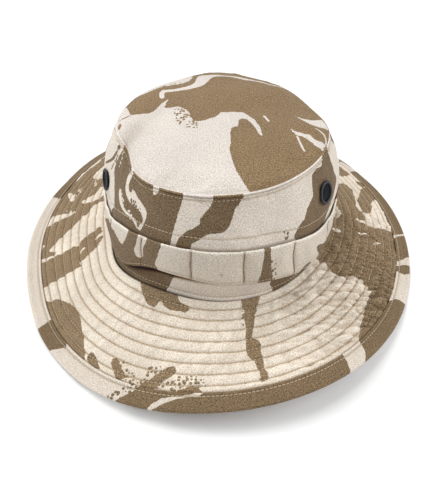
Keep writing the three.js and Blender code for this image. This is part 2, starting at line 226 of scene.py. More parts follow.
TOP_PATCHES = [
    patch("brown", 0.35, -80, 42, -70, 33, -66, 24, -63, 14, -62, 12.3, -55, 12.8, -46, 13.5, -44, 17, -42, 21.5, -40, 25,
          -38, 27.5, -36, 30, -35.5, 28, -36.8, 25, -37.4, 20, -38, 16, -34, 14.2, -29, 14.2, -25, 13, -21, 9, -18.5, 3,
          -17.5, -4, -14.5, -7, -12, -8, -9, -7, -5, -4, -1, -2, 1.5, 1.5, 3, 5, 9, 6, 15, 6, 19.5, 6.2, 21.5, 2.5,
          25, -4, 27.5, -9, 29.5, -15, 30.8, -20, 30.6, -26.5, 29.3, -26, 28, -22, 26.8, -17, 24.8, -12, 22.6, -8, 20.5, -5.4, 18, -4.4,
          16.2, -6, 15, -9.5, 15, -15, 13.2, -16, 10.8, -16.8, 9.8, -19.5, 9, -25, 9.2, -31, 9, -37, 8, -44.5, 9, -50,
          10, -56, 11.3, -63, 13.2, -70, 16.2, -76, 19, -81, 22, -88, 60, -80, 100, -40, 100, 60, 40, 100, -80, 90),
    patch("pale", 0.3, -38.6, 33, -39.8, 38, -38.5, 41.6, -35, 40.8, -30, 41.3, -25, 42.3, -18, 44, -11, 46.2, -8.5, 48.5, -6, 54, -3.5, 61,
          0, 64.5, 6, 65.5, 15, 65.3, 25, 62.5, 35, 58.2, 45, 54, 53, 52, 52, 54.5, 40, 59, 28, 64.5, 16, 68.5, 4, 69.5,
          -6, 71.5, -12, 74.5, -14.5, 69, -15.5, 61, -17, 53.5, -20, 49.5, -25, 46.8, -31, 45.3, -38, 45.6, -41.5, 46, -43.4, 42, -43.5, 37, -41.6, 31.5),
    patch("pale", 0.9, -80, 46, -62, 47, -52, 49.5, -46, 52.5, -38, 55, -31, 54.6, -26, 56, -22.5, 59, -20.5, 64, -18.6, 72, -20, 90, -70, 80),
    patch("pale", 0.3, 54.4, 11, 56.5, 7.4, 58.8, 4.4, 62, 2, 66, 0.9, 70, 1.6, 74, 4, 79, 7.2, 84, -2, 80, -6.6, 77, -7.2, 72, -7.8, 67.5, -7,
          64, -4.6, 61, -0.4, 57.6, 4.6),
    patch("pale", 0.7, 50.6, -14.5, 52.6, -18, 55, -20, 58, -20.2, 60, -22.6, 62, -21, 64.2, -22.5, 65.4, -25.4, 68, -27.4, 71, -28.2, 74.6, -29,
          73, -33, 71, -36.4, 68, -34.4, 65, -32, 62, -28.4, 60, -26, 57, -24.6, 55, -24.8, 53.6, -23, 52, -19.6),
    patch("pale", 0.15, 53.6, -24, 55.3, -25.2, 56, -30, 57, -35, 58.6, -40.6, 57.2, -40.6, 55.6, -36, 54.6, -30),
    patch("pale", 0.15, 69, -11, 73.2, -14, 75.7, -19, 76.4, -25, 74.6, -30.5, 74, -29, 74.6, -24, 74, -19, 72, -15.4, 68.6, -12),
    patch("pale", 0.2, 33.2, 1.4, 34.8, 1, 36, -3.4, 37.6, -8.2, 36.4, -8.4, 34.2, -4, 33, -0.6),
    patch("brown", 0.2, -73, 11, -69, 10.6, -62, 12.2, -62.6, 13.4, -70, 12.6),
    patch("brown", 0.2, -70.5, 5.5, -68.6, 4.2, -68.4, 0, -69.6, -2.8, -71.2, -1.8, -72, 2),
]
# Clusters of small dots: x, y, half length, half width, heading, tone.
TOP_SPECKLES = [(-21.5, -2.5, 19, 8.5, -66, "brown"), (-40, 56, 15, 4, 12, "brown")]

SIDE_PATCHES = [
    patch("brown", 0.35, 195.2, 90, 195.4, 76, 196.8, 74.8, 196.5, 71, 195.5, 66.2, 195, 61.5, 195.8, 57.2, 200, 52.5, 203, 47, 208, 45, 211.8, 42.2, 204.8, 29.8,
          201.8, 21.5, 213.8, 31, 224.8, 37.5, 239, 37, 252, 37, 252, 40, 252.4, 47, 253, 52, 253.6, 58, 254.2, 64, 255, 70, 255.7, 76, 256, 90),
    patch("pale", 0.2, 219.5, 90, 219, 76, 218, 73.2, 217.8, 69.5, 219.5, 66, 222.2, 63.2, 225.5, 61.5, 229.2, 60.2, 233, 60, 236.2, 58.8, 238.2, 56.5, 239, 53.2,
          238.2, 51.8, 237.2, 48.5, 237, 45.8, 238.2, 46.2, 239.2, 49, 239.7, 53.5, 240.2, 57.2, 240, 60.5, 238.2, 62.8, 235.8, 64.5, 233, 65.8, 230.5, 67.2, 227.8, 68.2,
          226, 68.5, 227, 67, 226.5, 65.5, 224.5, 66, 222.8, 68, 222, 70.8, 222.2, 74.2, 221.5, 90),
    patch("pale", 0.25, 214.8, 59.8, 215.2, 57.2, 218.5, 54.8, 221.2, 52.8, 224.8, 52.2, 228.5, 51.8, 232.2, 51.5, 234.5, 49.8, 236, 47, 237.2, 47, 236.5, 49.5,
          234.5, 52.2, 231.5, 53.2, 228, 53.8, 224.8, 54.8, 222.2, 56.4, 219.8, 58.6, 217.2, 60.8),
    patch("pale", 0.15, 239.6, 90, 239.8, 76, 242, 71.6, 244.4, 76, 245, 90),
    patch("brown", 0.3, 268.6, 90, 268.5, 76, 267, 71, 264.6, 67, 263, 64, 263.5, 61, 261, 58, 258.4, 56, 256.4, 52, 255, 48, 254.4, 44, 254, 38,
          260.4, 38, 260, 45, 260.4, 48.4, 262.4, 49.6, 264.6, 53.4, 266.4, 55, 270.4, 55.4, 273, 57, 274.6, 61, 275.6, 65, 276.6, 69, 279, 73, 280.6, 76, 281, 90),
    patch("brown", 0.5, 319, 73.2, 316.6, 70, 316, 66, 315.5, 62, 315, 58.6, 312, 56, 310, 54, 308, 50, 305, 47, 302.4, 43.4, 301.6, 39.6, 304, 34, 312, 24,
          322, 24, 326, 33, 331, 37, 336, 41, 339, 46, 339.6, 52, 338.4, 58, 337.4, 64, 338.4, 71, 337, 78, 337, 90, 330, 90, 329.6, 75.5, 327.6, 72.4, 325.4, 72, 322.6, 73.4),
    patch("brown", 0.2, 190.2, 72.5, 191, 74, 193.5, 74.2, 194, 72.2, 192.2, 70.8, 190.5, 71),
    patch("brown", 0.2, 189.8, 67.8, 192.2, 70, 193, 68.8, 191.5, 65.8, 191.8, 63.2, 190.2, 60, 186.5, 54, 182, 49.5, 183.5, 53, 186.2, 57, 188.8, 61.8, 189.2, 65),
    patch("brown", 0.3, 296.6, 44.4, 297.4, 44.6, 297.6, 42.6, 298.2, 44.8, 299, 44.4, 298.6, 41.4, 297, 41),
    patch("brown", 0.6, 196, -8, 199, 4, 203, 12, 210, 18, 225, 24, 250, 26, 256, 22, 254.6, 19, 253.6, 15, 252.2, 10, 251.6, 6, 250.6, 3, 250.2, -8),
    patch("brown", 0.5, 290, 16, 291, 10, 291, 5.5, 292, 2.4, 292.6, -8, 316, -8, 311, 4, 306, 10, 299, 15),
    # carried on round the back
    patch("brown", 0.4, 352, 90, 353, 74, 356, 66, 1, 60, 3, 52, 0, 44, 4, 38, 12, 34, 17, 40, 15, 50, 18, 58, 24, 63, 27, 72, 28, 90),
    patch("brown", 0.4, 30, -8, 33, 10, 31, 22, 36, 36, 34, 48, 38, 58, 45, 66, 49, 76, 51, 90, 66, 90, 63, 74, 58, 66, 56, 54, 49, 44, 48, 30, 52, 14, 50, -8),
    patch("brown", 0.4, 76, 90, 78, 72, 84, 62, 86, 50, 82, 40, 84, 28, 92, 22, 101, 26, 103, 38, 98, 48, 100, 60, 108, 68, 110, 80, 111, 90),
    patch("brown", 0.4, 120, 90, 124, 76, 130, 70, 128, 60, 132, 48, 140, 42, 138, 30, 142, 16, 140, -8, 158, -8, 156, 14, 151, 28, 153, 42, 147, 54, 145, 66, 149, 78, 150, 90),
    patch("pale", 0.3, 92, 32, 96, 30, 98, 35, 94, 42, 90, 40),
    patch("brown", 0.4, 164, 64, 168, 58, 172, 50, 170, 40, 174, 34, 178, 40, 177, 52, 173, 62, 170, 70, 165, 72),
]
# degrees, height, then as above
SIDE_SPECKLES = [(194, 64, 11, 3, 84, "brown"), (204.5, 50, 17, 3, -38, "brown"), (200, 70, 8, 2.6, 100, "pale"), (226, 55.4, 17, 2.8, -18, "pale"),
                 (232, 61.4, 10, 2.8, -14, "brown"), (338, 66, 10, 3, 90, "brown"), (298, 46, 4, 3.4, 70, "brown")]

BAND_PATCHES = [
    patch("brown", 0.3, 186, -6, 192, 8, 197, 14, 206, 24, 213, 28, 217, 30, 221.2, 32, 225.5, 30, 228.5, 27.2, 230, 30.5, 231.2, 35.2, 232.6, 41, 233, 54,
          238.2, 54, 238.2, 38, 236.2, 30.2, 236.8, 25.2, 238.5, 23.5, 240.8, 25.2, 241, 31.5, 241.5, 36.8, 242.6, 40.8, 243, 54, 249.6, 54, 249.2, 41.8, 248.2, 36.8,
          248, 32.2, 246.8, 27.2, 247, 24.2, 248, 22.2, 247.5, 14.2, 246, 4, 200, -8),
    patch("brown", 0.2, 287, 54, 289.9, 54, 289.6, 42, 289.5, 35.2, 290, 28.2, 290.2, 21.2, 290.8, 15, 291.5, 4.5, 284, 6, 284.5, 15, 285.8, 23.2, 286.2, 29,
          286.5, 33.8, 287, 39.8),
    patch("brown", 0.3, 314.6, 18.4, 316.6, 18.8, 318.8, 16.8, 323, 14, 328, 12, 330, 6, 318, 8, 315.4, 14),
    patch("brown", 0.3, 306, 8, 308, 10.6, 311.6, 11, 312, 6, 306, 4),
    # carried on round the back
    patch("brown", 0.4, 344, 54, 346, 30, 343, 18, 347, 4, 347, -6, 2, -6, 0, 8, 4, 20, 2, 34, 5, 54),
    patch("brown", 0.4, 24, -6, 27, 10, 24, 22, 30, 54, 52, 54, 54, 30, 50, 16, 54, -6),
    patch("brown", 0.4, 72, 54, 70, 30, 74, 18, 71, 6, 74, -6, 92, -6, 90, 14, 94, 28, 90, 54),
    patch("brown", 0.4, 118, -6, 121, 14, 117, 30, 121, 54, 140, 54, 143, 30, 137, 16, 139, -6),
    patch("brown", 0.4, 160, -6, 163, 12, 160, 26, 164, 54, 176, 54, 173, 28, 177, 14, 174, -6),
]
BAND_SPECKLES = [(290.9, 22, 14, 3.4, 92, "brown"), (222, 32, 8, 3, 0, "pale")]

BRIM_PATCHES = [
    # left, from the back towards the front
    patch("brown", 0.7, -112, 108, -113, 97, -120, 94, -124, 90, -129, 81.5, -133, 75.5, -138, 73, -142, 70, -165, 40, -160, 22, -150, 22.6, -143.4, 21.6,
          -137, 19.4, -132, 17.6, -131, 16, -134.4, 13.8, -140, 13.8, -147, 11, -152, 9.4, -162, 8, -164, -16, -153.4, -16, -152, -18.6, -154, -20.6,
          -158, -34, -149.6, -34.4, -146, -35.6, -141, -35, -138, -33.4, -139.4, -31, -143.6, -29.4, -146.6, -27, -145, -23.6, -142, -19.2, -138.6, -15.6,
          -134, -12, -131.4, -7.6, -128, -4.4, -124, 0.4, -121, 5, -116.2, 6.8, -113.2, 12, -110, 15.2, -104, 15.8, -98, 16, -96, 24, -103.6, 23.6,
          -108, 22.4, -113, 21.8, -117, 23, -121, 25.4, -123.4, 27.6, -120.6, 30, -114, 31, -108, 33.6, -104.6, 38, -96, 42, -98, 58, -106.6, 56, -108.4, 60.6, -113, 62,
          -115, 66, -113.6, 72, -112, 78, -108.6, 82, -104, 86, -100, 96, -104, 106),
    patch("pale", 0.5, -140.2, 53, -137.2, 54, -134.2, 48.6, -132.6, 43.6, -131, 38, -133.6, 35, -136.4, 39, -139, 45.6),
    patch("pale", 0.5, -112, 54, -109.4, 54, -108.6, 49, -110, 45.6, -112, 48),
    patch("brown", 0.5, -158, -39, -148, -39.6, -143, -37.8, -137.6, -36.6, -132, -36.8, -128, -35, -124, -32, -121, -32, -118.4, -33, -116.6, -28, -112, -22.2,
          -107, -21, -104, -18.2, -101, -17, -99, -20.4, -98.6, -25, -101.4, -26.6, -104, -29.6, -103, -32.4, -99.4, -30.4, -97, -29, -95.2, -33, -98, -38, -100, -42, -100.2, -46, -105, -47,
          -106.4, -51, -112, -52, -108.4, -56, -109, -58.4, -114, -58, -116.6, -60, -120, -60, -122.6, -63, -127, -63, -130, -65, -134.6, -65, -137, -69, -141.4, -69, -152, -74, -160, -60),
    patch("pale", 0.3, -115, -42.6, -113.6, -39, -111.4, -36.8, -110, -37.6, -111.4, -40.4, -113.6, -43.4),
    patch("brown", 0.35, -137, -78, -133.6, -81, -128, -83, -124, -81.8, -118, -83, -112, -86, -107, -88, -101, -92, -96.4, -97, -94.2, -101.4, -92, -108, -90, -112,
          -88, -120, -86, -127, -86.6, -131, -95, -135, -120, -115, -135, -95),
    patch("brown", 0.2, -84.4, -127.4, -82.4, -125, -80.2, -125.2, -78.4, -128, -75.6, -133.6, -72.8, -137.8, -77, -136, -81.4, -133.4, -84.4, -130.6),
    patch("brown", 0.3, -66.6, -131, -65.4, -129, -63, -128.8, -61.4, -132.6, -60, -136, -57.2, -140, -56.6, -143, -60, -144.2, -63.2, -143, -64.4, -139, -66.6, -134.6),
    # front
    patch("brown", 0.55, -47.6, -149, -45.5, -147, -44, -144.4, -42, -144.8, -39.4, -144.4, -38.4, -142.4, -33.4, -139.4, -28.4, -136.6, -25.6, -137.6, -25, -141.4, -29, -144.4,
          -33, -146.6, -36, -148.6, -36.6, -150.6, -33, -152, -28, -153.4, -24, -153.6, -19, -152, -17, -150.8, -14, -151, -11, -153, -9.8, -156, -9, -168, -64, -162, -58, -155),
    patch("pale", 0.2, -44, -151.6, -39, -151.8, -33, -154, -25, -154.8, -21, -154.6, -21, -153.8, -27, -154, -34, -152.8, -38, -150.8, -43, -150.6),
    patch("brown", 0.45, 13.6, -80, 13.8, -95, 15.8, -97, 16, -103, 15.2, -105, 16, -110, 17, -114, 16, -118, 16.6, -121, 16, -126, 16.8, -131, 18.8, -134.6, 21, -135.6,
          22, -140, 23.8, -143, 24.8, -146, 23.6, -150, 25, -151.2, 27, -151.2, 29, -149, 28.8, -145, 26.8, -141, 26.8, -136, 25.2, -131, 25.8, -126, 24.8, -123,
          23, -121, 20.4, -119.6, 20.8, -115, 22, -108, 23, -103, 24, -98, 26, -93, 27, -80),
    patch("brown", 0.3, -49, -76, -48, -83, -47, -88, -45.2, -93, -43, -96.2, -40, -98.2, -37.2, -97, -35.8, -94.6, -34.2, -94.2, -33, -97, -30, -99.6, -27, -101, -23, -100.8,
          -20, -102, -18, -101, -17, -99, -18, -97, -22, -95.6, -24, -93, -24, -76),
    # right
    patch("brown", 0.55, 68, -55, 73, -63, 76.4, -65, 80, -67.6, 85, -70.2, 89, -73, 93, -74, 96.8, -73.4, 97, -70.8, 101, -72, 107, -73, 112, -76, 113.4, -80, 112, -87,
          108, -93, 105, -100, 101, -107, 98, -114, 94.4, -122, 95, -132, 140, -110, 172, -60, 172, -2, 152.6, -3.6, 145, -5.4, 138, -8, 133, -9, 126, -9.2, 118, -9,
          116, -8.6, 120, -6.2, 125, -5.2, 129, -2.6, 130.2, 1, 128, 6.4, 124, 11, 122, 16, 124, 22, 123.4, 28, 125, 34, 124.2, 40, 125.4, 46, 122, 49, 120, 52.4, 116, 52.2,
          113, 49.2, 108, 46, 90, 40, 92, 10, 100.4, 3, 103, 0, 104, -6, 102, -12, 97, -13, 88, -14, 84, -34),
    patch("pale", 0.4, 91.6, -30, 94.6, -27, 98, -26.8, 100, -30, 98.2, -31.6, 94, -31),
    patch("pale", 0.2, 114.6, -27, 118, -24.6, 123, -23.6, 125.2, -24.8, 121, -26, 118, -26.8),
    patch("pale", 0.2, 129, -31, 133, -28.6, 137, -26.8, 139.4, -26.8, 137, -28.8, 133, -30.2),
    patch("brown", 0.5, 139, 58.6, 135, 52, 133, 45, 130, 37, 127, 30, 126.8, 22, 129.6, 14, 128.6, 11, 133, 9.6, 137, 12, 139, 18, 140.2, 25, 142, 32, 145, 38, 147.4, 41, 158, 44, 156, 60, 146, 64),
    patch("brown", 0.5, 112, 62, 116, 67.4, 119, 68.4, 123, 71, 127, 75, 130, 79, 129, 82, 125, 86.4, 122, 91.6, 116, 96, 106, 90, 104, 76),
    patch("brown", 0.4, 132.6, 66, 133.6, 70, 137, 69, 142, 66, 141, 60, 138, 59.4, 135, 60.4, 133.6, 62.6),
    # carried on round the back
    patch("brown", 0.6, 98, 100, 92, 112, 82, 118, 74, 128, 60, 134, 52, 142, 50, 154, 62, 160, 80, 150, 92, 136, 104, 128, 112, 116, 108, 104),
    patch("brown", 0.6, 60, 70, 52, 86, 44, 96, 40, 110, 28, 118, 20, 128, 8, 132, 4, 140, 12, 146, 26, 138, 34, 128, 46, 122, 56, 110, 62, 98, 72, 88, 74, 76),
    patch("brown", 0.6, -10, 90, -8, 104, -16, 116, -14, 130, -22, 142, -20, 156, -24, 172, -46, 168, -42, 152, -34, 138, -36, 124, -28, 112, -30, 98, -34, 86),
    patch("brown", 0.6, -58, 78, -62, 92, -74, 100, -78, 114, -70, 124, -74, 134, -86, 130, -94, 118, -92, 104, -98, 96, -92, 84, -80, 76, -72, 64),
    patch("pale", 0.4, 24, 124, 32, 118, 36, 122, 28, 130),
]
BRIM_SPECKLES = [(-140, 17, 17, 6, 8, "pale"), (-50, -147, 14, 7, -24, "brown"), (-25, -149, 18, 7, -2, "brown"),
                 (-58, -136.5, 8, 4, -67, "brown"), (-52.4, -143.8, 8, 4, -42, "brown"), (-40, -141.6, 10, 6.5, 14, "brown"), (-128, 48, 12, 4, 60, "pale"), (16.4, -103, 13, 3.4, 88, "brown"),
                 (-110, 60, 9, 4, 40, "pale"), (112, 45, 9, 4, 30, "brown")]

BIND_PATCHES = [
    patch("brown", 0.3, -100, 120, -90, 150, -190, 90, -160, 56.4, -154, 55.2, -149.6, 50, -120, 40),
    patch("brown", 0.4, -126.4, -100, -121, -97.6, -117, -100, -108, -112, -102, -119, -105, -121, -111, -120.8, -115, -122, -118.6, -123.4, -124, -118, -134, -107),
    patch("brown", 0.5, -66, -158.5, -62, -157, -58.3, -155.2, -51.6, -151.7, -47.2, -148.9, -44, -146, -30, -140, -10, -148, -13, -156.2, -22, -157.3, -28, -157,
          -35, -158.4, -40, -161, -43, -165, -50, -167, -60, -164),
    patch("brown", 0.3, -46, -172, -42, -165.6, -34, -162, -28, -159.8, -20, -158.4, -10, -158.6, -8, -150, 60, -120, 78, -132.6, 80, -136.4, 82, -143, 82.4, -150, 60, -190, -30, -190),
    patch("brown", 0.3, 93, -120, 95, -128, 97, -133.4, 94, -142, 110, -160, 150, -90, 143.4, -85.6, 139, -83.6, 134, -84.8, 130.6, -87.6, 110, -90),
    patch("brown", 0.3, 140, -46, 150, -47.6, 153.4, -45, 157, -43, 163, -43.4, 172, -52, 159, -53.6, 154, -55, 148.6, -54, 138, -52),
    patch("brown", 0.3, 140, -40, 151, -42.4, 157, -37.2, 163.6, -33, 180, -30, 176, -4, 166, -5, 160.4, -7, 157, -11, 154, -12.4, 140, -14),
    patch("brown", 0.35, 140, -6, 153.6, -9.6, 158, -6.4, 162, -3.6, 180, -1, 170, 60, 152, 100, 141, 92, 137, 90.4, 133, 88.4, 120, 70),
    patch("brown", 0.4, 122, 100, 125, 112, 128.6, 108.6, 134, 105, 140, 104, 138, 97, 134, 98, 130, 102, 125, 106),
    # carried on round the back
    patch("brown", 0.4, 84, 120, 96, 150, 62, 172, 40, 176, 44, 150, 60, 142, 66, 132),
    patch("brown", 0.4, 4, 140, 8, 190, -52, 186, -46, 158, -44, 140),
]
BIND_SPECKLES = [(-58, -153.2, 17, 5, 26, "brown")]


def outline_distance(x, y, outline):
    """Distance to a closed outline in millimetres, positive inside."""
    best = np.full(x.shape, 1e9)
    inside = np.zeros(x.shape, bool)
    for (ax, ay), (bx, by) in zip(outline, np.roll(outline, -1, 0)):
        ex, ey = bx - ax, by - ay
        length2 = ex * ex + ey * ey
        if length2 < 1e-12:
            continue
        t = np.clip(((x - ax) * ex + (y - ay) * ey) / length2, 0, 1)
        best = np.minimum(best, (x - ax - t * ex) ** 2 + (y - ay - t * ey) ** 2)
        crosses = (ay > y) != (by > y)
        if ay != by:
            inside ^= crosses & (x < ex * (y - ay) / (by - ay) + ax)
    return np.where(inside, 1, -1) * np.sqrt(best)


def softened(points, passes=1):
    """An outline with its corners cut, as a printed edge has."""
    for _ in range(passes):
        after = np.roll(points, -1, 0)
        points = np.stack([0.75 * points + 0.25 * after, 0.25 * points + 0.75 * after], 1).reshape(-1, 2)
    return points


DEGREE = 1.6  # millimetres to a degree, round the crown


def pattern(x, y, patches, speckles, seed, degrees=False):
    """How far inside the brown print a point lies, in millimetres (below zero on the pale ground), and how thickly
    it is sprinkled with small dots, brown ones above zero and pale ones below."""
    field = np.full(x.shape, -30.0)
    for tone, rag, outline in patches:
        px = x
        if degrees:
            middle = outline[:, 0].min() + 20 if np.ptp(outline[:, 0]) < 200 else 0.0
            px = turn(x, middle) * DEGREE
            outline = np.stack([turn(outline[:, 0], middle) * DEGREE, outline[:, 1]], 1)
        low, high = outline.min(0) - 6.0, outline.max(0) + 6.0
        near = (px > low[0]) & (px < high[0]) & (y > low[1]) & (y < high[1])
        if not near.any():
            continue
        nx, ny = px[near], y[near]
        d = outline_distance(nx, ny, softened(outline))
        d = d + rag * (noise(nx / 3.2, ny / 3.2, seed) + 0.7 * noise(nx / 1.5, ny / 1.5, seed + 1))
        field[near] = np.maximum(field[near], d) if tone == "brown" else np.minimum(field[near], -d)
    specks = np.zeros(x.shape)
    for cx, cy, long, wide, heading, tone in speckles:
        dx, dy = (turn(x, cx) * DEGREE if degrees else x - cx), y - cy
        h = math.radians(heading)
        u, v = (dx * math.cos(h) + dy * math.sin(h)) / long, (-dx * math.sin(h) + dy * math.cos(h)) / wide
        w = np.clip(3.0 - 2.8 * np.sqrt(u * u + v * v), 0, 1)
        specks = np.where(w > np.abs(specks), w if tone == "brown" else -w, specks)
    return np.clip(field, -12, 12), specks


# ---------------------------------------------------------------- the cloth's faces, with their stitched-in shape
def spherical(deg, r, z):
    """Polar to the row's frame, in millimetres, never below the floor."""
    a = np.radians(deg)
    deg, r, z = np.broadcast_arrays(deg, r, z)
    return np.stack([r * np.cos(a) - CENTRE[0], r * np.sin(a) - CENTRE[1], np.maximum(z, 0.03)], -1)


def pushed(surface, deg, al, out):
    """A point of a surface, pushed along its section's normal: up from the brim, outwards from the crown side."""
    r, z = surface(deg, al)
    r1, z1 = surface(deg, al + 0.25)
    tr, tz = r1 - r, z1 - z
    n = np.sqrt(tr * tr + tz * tz) * (-1 if surface is side else 1)
    return r - out * tz / n, z + out * tr / n


def row_shape(al, rows, groove):
    """Quilting between rows of stitching: 1 midway, 0 at a row, and how close a row is."""
    rows = np.asarray(rows, float)
    k = np.clip(np.searchsorted(rows, al) - 1, 0, len(rows) - 2)
    t = np.clip((al - rows[k]) / (rows[k + 1] - rows[k]), 0, 1)
    d = np.min(np.abs(np.asarray(al)[..., None] - rows), -1)
    return np.sin(np.pi * t) ** 0.75, np.exp(-((d / groove) ** 2))


QUILT_ROWS = [-0.6] + ROWS + [62.9]
PLAN_R = 94.0


WRINKLE = 7.0


def wrinkles(x, y):
    """Two patterns of folds that run from left to right. A fold's bottom is where its pattern crosses zero."""
    wx, wy = x + 4 * noise(x / 16, y / 16, 31), y + 2.6 * noise(x / 17, y / 12, 32)
    return noise(wx / 26, wy / 5.4, 33), noise(wx / 14, wy / 3.6, 34)


def folded(deg, al):
    """How close a point of the brim is to the bottom of a fold."""
    a = np.radians(deg)
    fold, finer = wrinkles((PLAN_R + al) * np.cos(a), (PLAN_R + al) * np.sin(a))
    depth = np.exp(-((fold / 0.06) ** 2)) + 0.45 * np.exp(-((finer / 0.08) ** 2))
    return depth * hill(turn(deg, 326) / 62) * smooth(al, 0, 6) * (1 - smooth(al, 59, 62))


def brim_pucker(deg, al):
    """How far the quilted brim is puckered up, in millimetres, the same on both faces."""
    a = np.radians(deg)
    x, y = (PLAN_R + al) * np.cos(a), (PLAN_R + al) * np.sin(a)
    right = hill(turn(deg, 326) / 62)
    left = hill(turn(deg, 175) / 70)
    front = hill(turn(deg, 262) / 60)
    fold, finer = wrinkles(x, y)
    across = np.abs(fold) + 0.5 * np.abs(finer)
    radial = np.abs(around(deg + 0.09 * noise(x / 9, y / 9, 35) * 20, 3.4, 36, al / 26))
    up = right * WRINKLE * (across - 0.4) + (1.2 * front + 1.0 * left + 0.5) * (radial - 0.35)
    up = up + (0.35 + 0.3 * right) * noise(x / 7, y / 7, 37) + 0.7 * noise(x / 33, y / 33, 38)
    held = smooth(al, -0.5, 6) * (1 - 0.8 * smooth(al, 60, 64))
    return up * held


def brim_face(deg, al, up=1):
    pillow, row = row_shape(al, QUILT_ROWS, 0.62)
    thin = 1 - 0.35 * smooth(al, 60.5, 63)
    h = (0.5 + 0.95 * pillow - 0.3 * row) * thin
    welt = 0.75 * bell(al, 0.5, 1.0)
    lift = brim_pucker(deg, al) * (0.55 + 0.45 * pillow)
    r, z = brim(deg, al)
    out = up * (h + welt) + np.where(z < BIND_HALF + 1.5, np.maximum(lift, -0.5), lift)
    return spherical(deg, *pushed(brim, deg, al, out))


BIND_IN = BRIM_WIDTH - BIND_WIDTH


def bind_face(deg, al, h):
    """The binding's face: h is the distance from the middle surface, below zero on its underside."""
    arc = around(deg - 0.35 * (al - BIND_IN), 2.1, 41, al / 30)
    over = np.where(h > 0.8, 1.0, np.where(h < -0.8, -0.4, 0.0))
    ripple = 0.2 * (np.abs(arc) - 0.3) + 0.12 * around(deg, 6, 42)
    sewn = -0.42 * bell(al, BIND_IN + 2.5, 0.6)
    out = h + over * (ripple * (1 - 0.6 * smooth(al, 72.5, 75)) + sewn)
    return spherical(deg, *pushed(brim, deg, al, out))


CROWN_ROW = 8.2  # from the loop band's top up to the crown side's row of stitching
TOP_ROW = 74.5  # row of stitching under the top seam


def side_out(deg, al):
    """How far the crown side stands out from its plain surface."""
    low, high = at("bandLow", deg), at("bandHigh", deg)
    out = 0.75 * around(deg, 17, 51, al / 24) + 0.3 * around(deg, 6, 52, al / 9)
    out = out + 0.85 * around(deg, 8, 55, al / 12) * smooth(al, high, high + 9)
    # puckers drawn in by the top seam and by the row above the band
    out = out + 1.0 * (np.abs(around(deg, 2.3, 53, al / 26)) - 0.25) * np.exp(-np.maximum(TOP_ROW - al, 0) / 6.5) * (1 - smooth(al, 74, 75.5))
    out = out + 0.3 * (np.abs(around(deg, 2.7, 54, al / 20)) - 0.3) * bell(al, high + CROWN_ROW - 3, 5)
    out = out + 0.45 * smooth(al, TOP_ROW - 0.1, TOP_ROW + 0.7) - 0.9 * smooth(al, 75.3, 76.2) - 0.32 * bell(al, TOP_ROW, 0.55)
    out = out - 0.34 * bell(al, high + CROWN_ROW, 0.65) + 0.22 * bell(al, high + CROWN_ROW - 2.2, 1.3)
    # tucked in under the loop band at the front left, and the narrow folded edge at the brim seam
    out = out - 4.4 * hill(turn(deg, 234) / 50) * bell(al, low - 0.5, 4.4) * smooth(al, 1.5, 4.5) - 0.8 * bell(al, low - 0.4, 1.6)
    out = out + 0.45 * (1 - smooth(al, 1.6, 2.6)) * (1 - 0.5 * hill(turn(deg, 90) / 120)) - 0.3 * bell(al, 2.2, 0.55)
    return out


def side_face(deg, al):
    out = side_out(deg, np.maximum(al, 0))
    r, z = pushed(side, deg, np.clip(al, 0, 76.3), out)
    return spherical(deg, r, z + np.minimum(al, 0))


BAND_LIFT = 0.2


def tacked(deg, reach=2.0):
    """1 at the loop band's tacks, 0 between them."""
    near = np.min(np.abs(turn(np.asarray(deg, float)[..., None], np.array(TACKS, float))), -1)
    return np.exp(-((near / reach) ** 2))


def band_face(deg, v, h=BAND_T):
    """The loop band's face: v runs from 0 at its bottom edge to 1 at its top edge, h is its stand-off."""
    low, high = at("bandLow", deg) + BAND_LIFT, at("bandHigh", deg) + BAND_LIFT
    al = low + (high - low) * v
    tack = tacked(deg)
    inner = 0.45 + 0.75 * (1 - tack) * smooth(v, 0.25, 1.0) * (0.6 + 0.4 * around(deg, 11, 61))
    puff = (0.8 * (1 - tacked(deg, 3.2)) - 0.6 * tacked(deg, 1.1)) * np.sin(np.pi * np.clip(v, 0, 1)) * (h > 0.7)
    fold = 0.55 * around(deg, 5, 62, v * 3) * np.sin(np.pi * np.clip(v, 0, 1)) + 0.5 * around(deg, 13, 63, v * 2)
    sewn = -0.35 * bell(al, low + 2.2, 0.6) * (h > 0.7)
    flare = 1.3 * hill(turn(deg, 230) / 46) * (1 - smooth(v, 0.0, 0.35))
    out = inner + h + puff + 0.8 * fold + sewn + flare
    # it follows the crown side's own softness, so it never sinks into it
    soft = 0.75 * around(deg, 17, 51, al / 24) + 0.3 * around(deg, 6, 52, al / 9)
    return spherical(deg, *pushed(side, deg, al, np.maximum(out, 0.3) + soft))


def ellipse(x, y, cx, cy, long, wide, heading):
    """1 at the middle of a soft ellipse, fading outwards."""
    h = math.radians(heading)
    u, v = ((x - cx) * math.cos(h) + (y - cy) * math.sin(h)) / long, (-(x - cx) * math.sin(h) + (y - cy) * math.cos(h)) / wide
    return np.exp(-(u * u + v * v))


# Soft folds of the top panel: x, y, half length, half width, heading, rise.
TOP_FOLDS = [(-61, -14, 20, 5.5, 62, -2.3), (-50, -17, 20, 6, 60, 2.1), (-33, -66, 9, 5, 20, -1.6), (-24, -70, 9, 4, 40, 1.3), (-44, -50, 12, 5, 35, -1.5), (-12, -76, 9, 4, 10, -1.2),
             (10, -78, 16, 4, 4, -0.6), (44, -58, 14, 5, 40, -0.7)]


